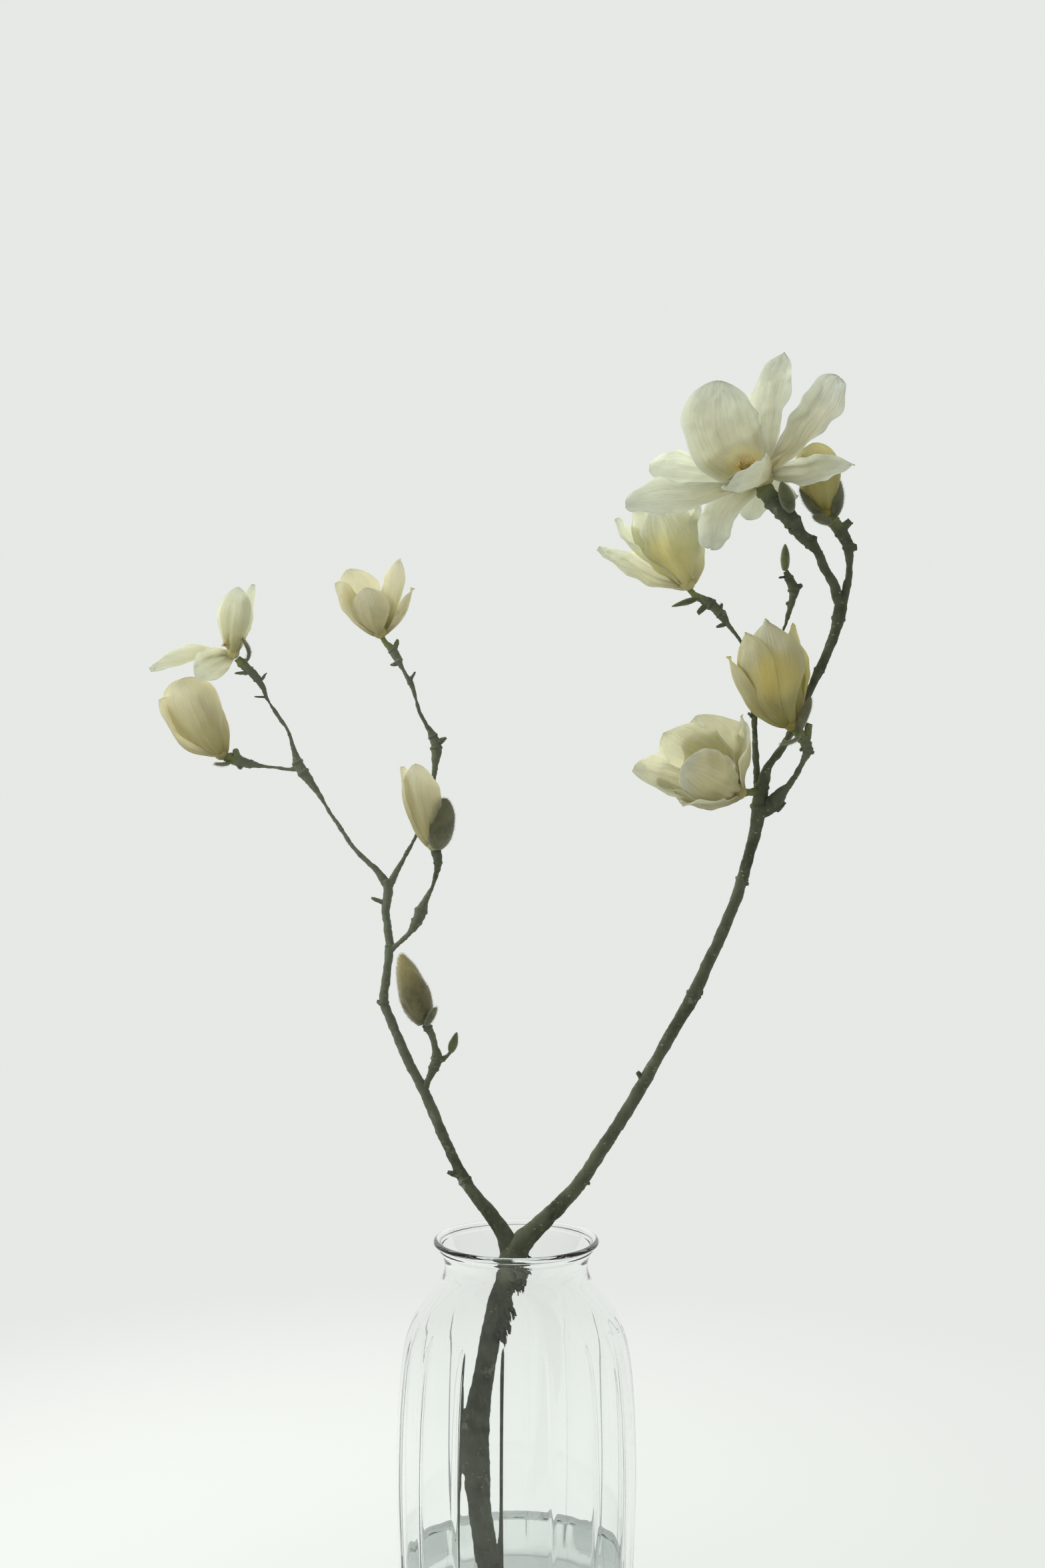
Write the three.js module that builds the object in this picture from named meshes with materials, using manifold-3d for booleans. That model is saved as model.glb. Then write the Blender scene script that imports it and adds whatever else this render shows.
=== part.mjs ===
// A cut magnolia branch in flower, standing in a clear glass vase with a little water.
// Millimetres, +Z up. The origin is the middle of the vase's flat base.
import * as THREE from 'three';
import { mergeVertices } from 'three/addons/utils/BufferGeometryUtils.js';
import Module from 'manifold-3d';

const wasm = await Module();
wasm.setup();

// ---- driving dimensions -------------------------------------------------------------

const gap = 0.3; // left between pieces that touch
const tolerance = 0.05; // how far joined faces may be evened out
const eye = { across: 3.4, back: 1166, up: 520 }; // where the branch is looked at from

const vaseHeight = 230;
const rimRadius = 44.5;
const beadRadius = 1.6;
const glassWall = 3;
const floorThickness = 9;
const floorCorner = 4.5; // how far the floor's rounded corner reaches in
const footRadius = 52;
const fluteCount = 16;
const fluteDepth = 1.1;
const fluteTurn = -5.7; // degrees that the first crease stands off the front
const roundSides = 32; // two to a flute
const waterLevel = 57;

const tepalThickness = 0.8;
const rootSpread = 3.2; // how far tepals stand round the heart at their roots
const scaleThickness = 1.1;

// The outside of the vase from heel to rim: radius, height.
const vaseOutline = [
  [56.8, 2.6], [61.2, 18], [63.6, 50], [65, 96], [64.3, 135], [62, 164], [57.2, 183.5],
  [48.8, 196.5], [41, 206.5], [38.6, 214.5], [40.6, 222.5], [44.2, 227.2],
];

// ---- places -------------------------------------------------------------------------

// The branch's places are given as they look from in front: across and up on the plane
// through the middle of the vase, and the depth behind that plane.
function seen(across, up, depth) {
  const reach = 1 + depth / eye.back;
  return new THREE.Vector3(
    eye.across + (across - eye.across) * reach,
    depth,
    eye.up + (up - eye.up) * reach,
  );
}

// ---- wood: across, up, depth, radius ------------------------------------------------

const limbs = {
  trunkAndRightLimb: [
    [-10.5, -2, -17.5, 6.2], [-11, 22, -15, 6.2], [-14, 42, -10, 6.3], [-17, 62, -6, 6.2], [-20, 82, -2, 6.2],
    [-21.4, 102, 2, 7], [-22, 120, 6, 7.2], [-20.4, 140, 10, 6.6], [-17, 160, 14.5, 5.4],
    [-14, 176, 17.5, 5.5], [-10, 192, 20.6, 6.1], [-5.4, 207, 23, 6.4], [-1.8, 219, 25, 7.2],
    [2.5, 227, 26.6, 6.4], [9, 233.5, 27, 5.3], [17.8, 242, 27, 4.6], [26.8, 251, 26.5, 4.2],
    [34.5, 260, 26, 3.9], [42, 271.5, 24.5, 3.7], [50.5, 284.5, 23, 3.6], [60.4, 300, 21, 3.5],
    [68.5, 314, 19.5, 3.5], [76.8, 329, 17.5, 3.3], [86, 345, 16, 3.3], [95.6, 362, 14.5, 3.6],
    [103.6, 380, 13, 3.2], [111, 396, 11.5, 3.1], [117.2, 411, 10.5, 3], [121.3, 424, 9.5, 3.1],
    [125.2, 438, 8.5, 3], [128.4, 451, 7, 3.5], [130.4, 463, 6, 4.1], [131.8, 474, 5.6, 3.6],
    [135, 484, 5.3, 2.3], [141.3, 493, 5, 2], [147.5, 503, 4.5, 2], [152.8, 515, 4, 1.9],
    [157.4, 526, 3.5, 2.1], [162.2, 536, 3, 2.5], [166.4, 545.5, 2.5, 2.5],
    [169.6, 554, 2, 2.7], [172.3, 563.5, 1.5, 3.3], [173.6, 574.5, 1, 3.5],
  ],
  bloom1Twig: [
    [173, 571, 1, 3], [169, 583, 0.5, 2.5], [164.6, 590.5, 0, 2.4], [161.5, 598, -0.5, 2.4],
    [157.4, 603.8, -1, 3.2], [152, 608.4, -1.5, 3.5], [147.6, 615, -2, 4.3],
    [142.6, 620.8, -2, 4.8], [137, 626.4, -2, 4.8], [132.8, 631.4, -2, 4.4],
    [130.6, 634.4, -2, 3.4],
  ],
  bloom2Twig: [
    [174, 571.5, 1, 2.9], [177, 583, 3, 2], [177.9, 594, 6, 2], [177, 602, 8, 2.9],
    [173.4, 609.6, 10, 3.3], [169.4, 615.2, 11, 3.1], [167, 618.4, 12, 2.7],
  ],
  bloom4Twig: [
    [131, 459, 6.5, 3.2], [137.4, 464.6, 4, 4.2], [142.6, 470.6, 0, 2.9], [146.6, 475, -3, 1.9],
    [150.6, 481.4, -7, 1.4], [154, 488, -10, 1.7], [156, 494, -12, 2.6],
    [153.6, 499.6, -12, 2.9], [149.4, 504.6, -12, 2.6],
  ],
  bloom3Twig: [
    [130.6, 468, 6, 2.6], [129, 480, 9, 1.8], [128.3, 492, 14, 1.6], [127.8, 504, 19, 1.4],
    [127.5, 512, 22, 1.7], [128, 521, 25, 1.3], [127.4, 530, 29, 1.2], [124, 541, 34, 1],
    [119.5, 552.4, 39, 0.95], [113.5, 560, 43, 1.4], [109.4, 566, 45, 2.6],
    [104.4, 571, 47, 2.9], [99.4, 574, 48, 2.4], [95.6, 576, 49, 1.9], [92.6, 579.4, 50, 1.7],
  ],
  middleTwig: [
    [127.8, 526, 27, 1.2], [133, 538, 31, 1], [138.6, 548, 33, 0.95], [142.5, 556.5, 34, 0.95],
    [145.4, 565.5, 35, 1.3], [147.3, 573, 35.5, 1.9], [148.3, 579, 36, 2.8],
    [145.6, 585, 36, 2.3], [143.8, 589, 36, 1.6],
  ],
  bloom5Twig: [[130.4, 471, 6, 2.6], [125.4, 471, 2.5, 2], [121.8, 470.6, 0, 2.1]],
  leftLimb: [
    [-2.4, 216, 26, 6], [-4, 226, 27, 5.3], [-8.7, 235.5, 28.5, 4.4], [-15, 244.4, 30, 3.7],
    [-20.8, 251.4, 31, 3.4], [-27.6, 261, 33.5, 3.3], [-32.8, 271, 36, 3], [-37.4, 281, 39, 2.9],
    [-41.8, 291, 41.5, 2.9], [-46.3, 302, 44.5, 2.9], [-50.6, 311.6, 47, 2.8],
    [-55.4, 320.6, 49, 2.7], [-60, 330, 51.5, 2.7], [-64.3, 340, 54, 2.6],
    [-67.8, 349, 56.5, 2.6], [-71, 357.4, 58.5, 2.7], [-70.4, 367, 60.5, 2.4],
    [-69, 378, 63, 2.3], [-68, 388, 65.5, 2.5], [-69.4, 399, 68, 2.2], [-70, 409, 70, 2.5],
    [-68.8, 418, 72, 2.7], [-69, 424, 73, 3.1],
  ],
  bloom7Twig: [
    [-68.8, 420, 72.5, 2.5], [-74.6, 428.6, 75, 1.9], [-81, 434.6, 77, 1.4],
    [-87.6, 441.6, 80, 1.3], [-93.6, 450.6, 83, 1.2], [-100, 460, 86, 1],
    [-104.6, 468, 88, 1.3], [-109, 474.6, 90, 2.2], [-114, 481.4, 92, 3.1],
    [-117, 486.6, 93, 2.9], [-118.4, 491.6, 94, 1.7], [-120.5, 499, 95, 1.1],
    [-122.6, 504.4, 95, 1], [-126.6, 510.6, 96, 0.9], [-130.6, 516.4, 97, 0.9],
    [-133.4, 521, 97, 1.1], [-135.4, 527, 97, 1.5], [-138.6, 531.6, 97, 2.3],
    [-142.6, 536, 97, 2.5], [-146.6, 540, 97, 2.5], [-149.2, 542.6, 97, 2.1],
  ],
  bloom8Twig: [
    [-115.6, 484.6, 92.5, 2.4], [-120.6, 483, 94, 1.2], [-128, 484, 97, 0.9],
    [-135.6, 484.8, 99, 1.1], [-142.4, 485.8, 101, 2.3], [-148.4, 487.4, 103, 3],
    [-153.4, 489, 104, 2.8], [-156, 490, 104, 2.4],
  ],
  bloom6Twig: [
    [-68, 420.4, 72.5, 2.3], [-64, 428.6, 75, 1.7], [-60, 436, 77, 1.2], [-56, 443, 79, 1.1],
    [-51.6, 451, 81, 1], [-47.6, 460, 83, 1], [-45, 470, 84, 1], [-44, 478.6, 85, 1.2],
    [-43.3, 487, 86, 2.1], [-42.7, 494.6, 87, 3], [-44.6, 500.6, 87.5, 2.4],
    [-48, 506.6, 88, 1.1], [-51.6, 513.6, 89, 0.95], [-54, 522, 90, 0.9],
    [-56.4, 529.4, 91, 1.6], [-60, 535.4, 92, 1], [-62.6, 541, 93, 2.1], [-66, 546.8, 94, 2.4],
    [-69.8, 550.8, 95, 1.6], [-71.8, 553.6, 95, 1.4],
  ],
  bloom9Twig: [
    [-67.6, 386, 65, 2.2], [-62, 390.4, 63, 1.4], [-57, 395.6, 60, 1.5],
    [-53.2, 401.4, 57.5, 2.8], [-51, 407, 56, 3.2], [-49, 412, 55, 2], [-45.8, 418.4, 53.5, 1.1],
    [-43.3, 425.6, 52.5, 1.3], [-42.2, 433, 52, 2.3], [-43, 439.6, 52, 2.9],
  ],
  bloom10Twig: [
    [-50, 309.6, 47, 2.3], [-47, 316.6, 45.5, 1.8], [-44.4, 322, 44.5, 2.7],
    [-42.7, 327.4, 44, 2.9], [-43.7, 333, 43, 1.9], [-45, 339, 41.5, 1.7],
    [-47.5, 343.6, 40.5, 2.2], [-49, 345.8, 40, 2.2],
  ],
  sideTwig: [[-42, 325.6, 44, 1.9], [-38, 328, 44, 1.3], [-35.4, 330.6, 44, 0.95]],
};

// Short spurs, bud scars and node bumps: from, to, radius at either end.
const spurs = [
  { from: [-31, 263.6, 33.5], to: [-37, 265.8, 33], radii: [1.8, 1] },
  { from: [-69.6, 356, 58], to: [-75, 358.4, 58], radii: [2, 0.7] },
  { from: [-70, 411, 70.5], to: [-78, 414, 70.5], radii: [1.7, 0.6] },
  { from: [35, 261, 26], to: [40, 259.2, 25.5], radii: [2, 0.8] },
  { from: [68.4, 315.6, 19.5], to: [65.2, 320, 19], radii: [1.9, 1] },
  { from: [96.4, 363.4, 14.5], to: [100.6, 362.6, 14], radii: [2.2, 1.2] },
  { from: [120.8, 422.4, 9.5], to: [125.2, 421.4, 9], radii: [2, 0.9] },
  { from: [138.6, 462, 5], to: [143.6, 466, 4.5], radii: [3, 1.6] },
  { from: [-134, 521.6, 97], to: [-140, 522, 96], radii: [0.9, 0.4] },
  { from: [-137, 530, 97], to: [-133.4, 534.8, 97], radii: [1.2, 0.4] },
  { from: [-142, 534.6, 97], to: [-150.6, 534.4, 95], radii: [1.4, 0.5] },
  { from: [-149, 488, 103], to: [-150.4, 494, 102], radii: [2.2, 1.4] },
  { from: [-147, 486, 103], to: [-148.4, 483.2, 102], radii: [1.8, 1.2] },
  { from: [-43, 496.6, 87], to: [-37.4, 499.8, 86], radii: [2.2, 0.7] },
  { from: [-57, 530, 91], to: [-54, 535.4, 91], radii: [1.3, 0.5] },
  { from: [-62, 540, 93], to: [-67, 538.8, 93], radii: [1.4, 0.4] },
  { from: [-65.6, 546.4, 94], to: [-63.2, 552.4, 94], radii: [1.6, 0.6] },
  { from: [-50, 411, 55.5], to: [-48, 415.6, 55.5], radii: [1.6, 1] },
  { from: [158, 604, -1], to: [159.4, 607.6, -1.5], radii: [2.2, 1.4] },
  { from: [149, 612, -2], to: [146.4, 609.4, -3], radii: [2.6, 1.8] },
  { from: [177, 601, 8], to: [182, 601.6, 7], radii: [2.4, 1.6] },
  { from: [173.4, 611, 10], to: [178.4, 615.6, 9.5], radii: [2.6, 1.8] },
  { from: [108.4, 567, 45.5], to: [110, 572, 45], radii: [1.7, 0.8] },
  { from: [112.4, 561, 43.5], to: [107, 559, 43], radii: [1.3, 0.5] },
  { from: [102, 571, 47.5], to: [97, 566.4, 46.5], radii: [1.8, 1.1] },
  { from: [148.4, 579, 36], to: [152.6, 581.6, 36], radii: [2, 0.9] },
  { from: [146.8, 571, 35.5], to: [144.4, 572, 35], radii: [1.2, 0.6] },
  { from: [145, 586, 36], to: [140.2, 585.4, 35.5], radii: [1.1, 0.4] },
  { from: [127.6, 510, 21.5], to: [124.2, 513.2, 21], radii: [1.3, 0.6] },
  { from: [156, 493, -12], to: [159.4, 491.8, -12], radii: [1.6, 0.8] },
  { from: [155.4, 499, -12], to: [157, 507.4, -12], radii: [2.3, 1.4] },
  { from: [154.6, 494.6, -12], to: [152.2, 493.2, -13], radii: [1.4, 0.7] },
];

// ---- blooms -------------------------------------------------------------------------
// A tepal runs from its bloom's heart, or from a root of its own, to its tip. face is the
// way its inner side looks. bow bulges it outwards, sway bends it sideways, flare turns
// its end outwards, cup is how far it is rolled across, in radians at half width, wide is
// where along it it is widest, blunt is low for a square end, claw is its share of the
// width at the root.

const blooms = {
  bloom_1: {
    heart: [130, 639, -2],
    core: [7.5, 5.5, 6.5],
    tepals: [
      { root: [125.5, 641, 0], tip: [107.5, 690, -5], face: [0.1, -0.98, 0.1], width: 43,
        bow: 7, sway: -6.5, cup: 0.4, wide: 0.58, blunt: 0.5, claw: 0.4, lap: 0.3 },
      { root: [135, 642, 0.5], tip: [141, 706.5, 8], face: [0.15, -0.97, 0], width: 21,
        bow: 4, sway: -2.5, cup: 0.5, wide: 0.68, blunt: 0.68 },
      { root: [134.5, 642.5, -3], tip: [173.5, 691, -10], face: [-0.45, -0.8, 0.3], width: 22,
        bow: 4, cup: 0.6, wide: 0.72, blunt: 0.24 },
      { root: [134.5, 640, -4], tip: [180, 645.5, -16], face: [0.07, -0.88, 0.48], width: 20,
        bow: 3, cup: 0.5, wide: 0.54, blunt: 0.7 },
      { root: [125.5, 641, 1.5], tip: [71, 644, 7], face: [-0.1, -0.85, 0.5], width: 21,
        bow: 3, cup: 0.5, wide: 0.66, blunt: 0.5 },
      { root: [125, 637.5, -4], tip: [58.5, 625.5, -14], face: [0.1, -0.72, 0.68], width: 22,
        bow: 2, sway: -4, cup: 0.6, wide: 0.7, blunt: 0.4 },
      { root: [135.5, 643.5, -4], tip: [112, 634, -28], face: [-0.3, 0.5, 0.81], width: 27,
        bow: 5, cup: 1, wide: 0.55, blunt: 0.45, claw: 0.5 },
      { root: [124, 637, -1.5], tip: [103.5, 600.5, -9], face: [-0.05, -0.97, 0.2],
        width: 18, bow: 2, sway: 5, cup: 0.5, wide: 0.62, blunt: 0.25, claw: 0.65 },
      { root: [128, 636, 1], tip: [124, 616, 13], face: [0, -0.8, 0.6], width: 18,
        bow: 3, cup: 0.5, wide: 0.6 },
      { root: [133.5, 638.5, 1], tip: [150, 629, 12], face: [0.3, -0.85, 0.4], width: 16,
        bow: 3, cup: 0.5, wide: 0.6, blunt: 0.55 },
    ],
  },
  bloom_2: {
    heart: [165.6, 620.9, 12.2],
    core: [4.4, 4.4, 4],
    tepals: [
      { tip: [157, 656.5, 6.5], face: [0.05, 1, 0.1], width: 27, bow: 7, cup: 0.9, blunt: 0.4 },
      { tip: [152, 651, 12], face: [0.9, 0.05, 0.3], width: 24, bow: 6, cup: 0.8, blunt: 0.4 },
      { tip: [166, 653, 12.4], face: [-0.9, 0.1, 0.2], width: 20, bow: 5, cup: 0.8, blunt: 0.4 },
      { tip: [159.5, 655, 20], face: [-0.05, -1, 0.1], width: 23, bow: 6.5, cup: 0.9,
        blunt: 0.4 },
    ],
  },
  bloom_3: {
    heart: [91.4, 582.4, 50],
    core: [4.4, 4.4, 4.2],
    tepals: [
      { tip: [43.5, 601, 44], face: [0.3, -0.55, 0.75], width: 24, bow: 4, cup: 0.6,
        wide: 0.5, blunt: 0.95 },
      { tip: [53.5, 617, 44], face: [0.7, -0.35, 0.6], width: 28, bow: 4, flare: 2, cup: 0.8 },
      { tip: [76, 626, 40], face: [0, 1, 0.1], width: 36, bow: 9, cup: 0.9 },
      { tip: [97, 624, 48], face: [-0.95, 0.1, 0.2], width: 26, bow: 5, cup: 0.8 },
      { tip: [80, 629, 60], face: [0, -1, 0.1], width: 38, bow: 8, cup: 0.9 },
      { tip: [64, 625, 56], face: [0.6, -0.75, 0.1], width: 28, bow: 7, cup: 0.8 },
    ],
  },
  bloom_4: {
    heart: [147.6, 507.8, -12],
    core: [4.8, 4.6, 4.4],
    tepals: [
      { tip: [133.5, 563, -20], face: [0.1, 0.98, 0.1], width: 34, bow: 10, sway: 2,
        cup: 0.9, blunt: 0.9 },
      { tip: [148, 560, -15], face: [-0.85, 0.45, 0.15], width: 27, bow: 3.5, cup: 0.8,
        blunt: 0.9 },
      { tip: [122.5, 556, -16], face: [0.7, 0.6, 0.35], width: 32, bow: 12, cup: 0.8 },
      { tip: [113.5, 543.5, -10], face: [0.7, 0.25, 0.6], width: 25, bow: 9, cup: 0.7,
        blunt: 0.75 },
      { tip: [139, 557, 2], face: [0, -1, 0.1], width: 37, bow: 8, cup: 0.9 },
      { tip: [148, 553, -4], face: [-0.75, -0.6, 0.1], width: 25, bow: 3.5, cup: 0.8 },
      { tip: [125, 552, -4], face: [0.7, -0.65, 0.2], width: 28, bow: 7, cup: 0.8 },
    ],
  },
  bloom_5: {
    heart: [119, 471, -2.5],
    core: [4.6, 4.6, 4.4],
    tepals: [
      { tip: [90, 486, -32], face: [0.2, 0.95, -0.1], width: 31, bow: 7, cup: 0.7, blunt: 0.5 },
      { tip: [80, 503, -8], face: [0.3, -0.6, -0.7], width: 38, bow: 10, cup: 0.7,
        blunt: 0.5 },
      { tip: [120.5, 512, -6], face: [-0.9, -0.1, -0.2], width: 24, bow: 2, flare: 2, cup: 0.7 },
      { tip: [63, 484, -26], face: [0.1, -0.7, 0.7], width: 26, bow: 5, cup: 0.7 },
      { tip: [75, 476, -18], face: [0.1, -0.2, 0.97], width: 30, bow: 8, cup: 0.8 },
      { tip: [89, 464, -28], face: [0.1, 0.3, 0.95], width: 22, bow: 3, cup: 0.6, blunt: 0.5 },
      { tip: [97, 512, 2], face: [-0.1, -0.98, 0.1], width: 38, bow: 5, cup: 0.7, wide: 0.66 },
    ],
  },
  bloom_6: {
    heart: [-72.8, 556.4, 95],
    core: [4, 4, 3.8],
    tepals: [
      { tip: [-96, 583, 90], face: [0.6, -0.4, 0.6], width: 23, bow: 5, cup: 0.7 },
      { tip: [-89.5, 590, 101], face: [0.35, -0.93, 0.1], width: 28, bow: 6, cup: 0.7 },
      { tip: [-62, 595.5, 94], face: [-0.62, -0.75, 0.1], width: 19, bow: 2.5, cup: 0.7,
        blunt: 0.6 },
      { tip: [-81, 580, 82], face: [0.1, 0.95, 0.2], width: 24, bow: 6, cup: 0.7 },
      { tip: [-55, 580, 96], face: [-0.6, -0.5, 0.6], width: 15, bow: 3, cup: 0.6, blunt: 0.8 },
      { tip: [-74, 578, 107], face: [-0.1, -0.95, 0.1], width: 24, bow: 5, cup: 0.7 },
    ],
  },
  bloom_7: {
    heart: [-151.6, 545.4, 97],
    core: [4, 4, 3.8],
    tepals: [
      { tip: [-148.5, 580.5, 89], face: [0.1, 0.98, 0], width: 20, bow: 3, cup: 0.7 },
      { tip: [-140.5, 582, 97], face: [-0.9, 0.3, 0], width: 17, bow: 2, cup: 0.7, blunt: 0.8 },
      { tip: [-196, 536.5, 95], face: [0.1, -0.6, 0.8], width: 17, bow: -5, cup: 0.6,
        blunt: 0.8 },
      { tip: [-172, 533.5, 84], face: [0.2, -0.9, 0.3], width: 19, bow: -2, cup: 0.5 },
      { tip: [-151.5, 578, 108], face: [0.35, -0.93, 0.1], width: 18, bow: 4, cup: 0.7 },
      { tip: [-145, 572, 111], face: [-0.5, -0.85, 0.1], width: 16, bow: 3, cup: 0.7 },
    ],
  },
  bloom_8: {
    heart: [-158, 491.6, 104],
    core: [4.2, 4.2, 4],
    tepals: [
      { tip: [-180, 531, 96], face: [0.1, 1, 0.1], width: 36, bow: 8, cup: 0.9, wide: 0.68,
        blunt: 0.45 },
      { tip: [-190, 521, 102], face: [0.8, -0.3, 0.4], width: 30, bow: 9, cup: 0.8, wide: 0.68,
        blunt: 0.45 },
      { tip: [-170, 531, 104], face: [-0.9, 0.2, -0.1], width: 27, bow: 6, cup: 0.8,
        wide: 0.68, blunt: 0.45 },
      { tip: [-183, 530, 112], face: [0.1, -1, 0.1], width: 37, bow: 7, cup: 0.9, wide: 0.68,
        blunt: 0.45 },
    ],
  },
  bloom_9: {
    heart: [-44, 442.6, 52],
    core: [4, 4, 3.8],
    tepals: [
      { tip: [-61.5, 484.5, 50], face: [0.85, -0.1, 0.4], width: 22, bow: 5, cup: 0.8 },
      { tip: [-54.5, 486, 44], face: [0.1, 1, 0.1], width: 23, bow: 6, cup: 0.8 },
      { tip: [-46, 479, 54], face: [-0.8, 0, 0.2], width: 20, bow: 4, cup: 0.8 },
      { tip: [-54, 484, 60], face: [0, -1, 0.1], width: 23, bow: 6, cup: 0.8 },
    ],
  },
};

const long = 50; // tepals longer or broader than this are divided once more
const broad = 37;

// Stamens round a cone of carpels, in the blooms that stand open.
const hearts = {
  bloom_1: { toward: [-0.78, -0.48, 0.4], start: 5, length: 11.5, radius: 3, stamens: 10 },
  bloom_6: { toward: [-0.15, -0.1, 0.98], start: 4.2, length: 10, radius: 2.2, stamens: 6 },
  bloom_7: { toward: [-0.3, -0.3, 0.9], start: 3.6, length: 9, radius: 2, stamens: 6 },
};

// Fuzzy bud scales, made as small stiff tepals.
const scales = {
  bloom_2: [
    { root: [164, 617.4, 8], tip: [151.4, 632.6, 9], face: [0.9, 0.5, 0.3], width: 6.5, bow: 3 },
    { root: [170, 617.4, 10], tip: [171.6, 638, 8], face: [-0.6, 0.8, 0], width: 9, bow: 3 },
    { root: [168, 614, 7.5], tip: [158.6, 618.6, 3], face: [-0.1, 0.5, 0.85], width: 7, bow: 1 },
  ],
  bloom_4: [
    { root: [151, 503, -15.3], tip: [157.6, 521.4, -19], face: [-0.4, 0.9, 0], width: 6, bow: 1 },
    { root: [152, 500.6, -16], tip: [141.4, 496.4, -22], face: [0.1, 0.3, 0.95], width: 6.5,
      bow: 1.5 },
  ],
  bloom_7: [
    { root: [-144, 540.6, 94], tip: [-146.6, 553.4, 92], face: [-1, 0, 0.2], width: 6, bow: 3 },
  ],
  bloom_8: [
    { root: [-153, 486.4, 101], tip: [-161.6, 486, 97], face: [0.1, 0, 1], width: 6, bow: 1 },
  ],
  bloom_9: [
    { root: [-41.6, 439.6, 49.4], tip: [-38.5, 467.5, 44], face: [-0.5, 0.85, 0.1], width: 18,
      bow: 4, blunt: 0.5 },
  ],
};

// Closed buds: base, tip, greatest radius.
const leafBuds = {
  leaf_bud_middle: { base: [143.6, 589, 36], tip: [143.6, 603.5, 36], radius: 2.6 },
  leaf_bud_bloom_1: { base: [146.6, 620.6, -5.6], tip: [141.4, 636.6, -14], radius: 4 },
  leaf_bud_bloom_3: { base: [97.6, 574.6, 46.8], tip: [83, 570, 45], radius: 1.7 },
  leaf_bud_left: { base: [-35.4, 330.4, 44], tip: [-31.9, 341.6, 44], radius: 2.4 },
};

const fuzzyBud = { base: [-49.4, 345.8, 40], tip: [-62, 384, 43], radius: 8.3 };
const fuzzyBudScale = {
  root: [-48.2, 345, 37.4], tip: [-43.4, 355, 32.5], face: [-0.7, 0.6, 0.2], width: 7, bow: 1,
};

// ---- solids -------------------------------------------------------------------------

function solidOf(geometry) {
  geometry.deleteAttribute('normal');
  geometry.deleteAttribute('uv');
  const merged = mergeVertices(geometry);
  return new wasm.Manifold(new wasm.Mesh({
    numProp: 3,
    vertProperties: new Float32Array(merged.attributes.position.array),
    triVerts: new Uint32Array(merged.index.array),
  }));
}

function joined(solids) {
  return wasm.Manifold.union(solids);
}

function signedVolume(points, triangles) {
  const corner = [new THREE.Vector3(), new THREE.Vector3(), new THREE.Vector3()];
  let volume = 0;
  for (const triangle of triangles) {
    triangle.forEach((vertex, place) => corner[place].fromArray(points, 3 * vertex));
    volume += corner[0].dot(corner[1].clone().cross(corner[2])) / 6;
  }
  return volume;
}

// The solid's biggest shell: hollows that joining has sealed are filled, scraps dropped.
function mainShell(solid) {
  const { vertProperties: points, triVerts } = solid.simplify(tolerance).getMesh();
  const leader = Array.from({ length: points.length / 3 }, (_, vertex) => vertex);
  const leaderOf = (vertex) => {
    while (leader[vertex] !== vertex) {
      leader[vertex] = leader[leader[vertex]];
      vertex = leader[vertex];
    }
    return vertex;
  };
  const triangles = [];
  for (let at = 0; at < triVerts.length; at += 3) {
    const triangle = [triVerts[at], triVerts[at + 1], triVerts[at + 2]];
    triangles.push(triangle);
    leader[leaderOf(triangle[1])] = leaderOf(triangle[0]);
    leader[leaderOf(triangle[2])] = leaderOf(triangle[0]);
  }
  const shells = Map.groupBy(triangles, (triangle) => leaderOf(triangle[0]));
  const bySize = [...shells.values()].sort(
    (one, other) => signedVolume(points, other) - signedVolume(points, one),
  );
  const geometry = new THREE.BufferGeometry();
  geometry.setAttribute('position', new THREE.BufferAttribute(points.slice(), 3));
  geometry.setIndex(bySize[0].flat());
  return geometry;
}

// ---- vase and water -----------------------------------------------------------------

const outerWall = vaseOutline.map(([radius, height]) => new THREE.Vector2(radius, height));

// The wall's outline moved in square to itself.
function drawnIn(distance) {
  return outerWall.map((point, place) => {
    const before = outerWall[Math.max(place - 1, 0)];
    const after = outerWall[Math.min(place + 1, outerWall.length - 1)];
    const along = after.clone().sub(before).normalize();
    return new THREE.Vector2(point.x - distance * along.y, point.y + distance * along.x);
  });
}

function turned(profile) {
  return new THREE.LatheGeometry(profile, roundSides)
    .rotateX(Math.PI / 2)
    .rotateZ(THREE.MathUtils.degToRad(fluteTurn));
}

// Flutes: the outer wall is drawn in along narrow creases between flat panels.
function fluted(geometry, rows, firstRow, lastRow) {
  const position = geometry.attributes.position;
  const perFlute = roundSides / fluteCount;
  for (let vertex = 0; vertex < position.count; vertex += 1) {
    const row = vertex % rows;
    const column = Math.floor(vertex / rows);
    if (row < firstRow || row > lastRow || column % perFlute !== 0) continue;
    const height = position.getZ(vertex);
    const strength = THREE.MathUtils.smoothstep(height, 4, 40)
      * (1 - THREE.MathUtils.smoothstep(height, 165, 195));
    const radius = Math.hypot(position.getX(vertex), position.getY(vertex));
    const drawn = 1 - (strength * fluteDepth) / radius;
    position.setXY(vertex, position.getX(vertex) * drawn, position.getY(vertex) * drawn);
  }
  return geometry;
}

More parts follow.
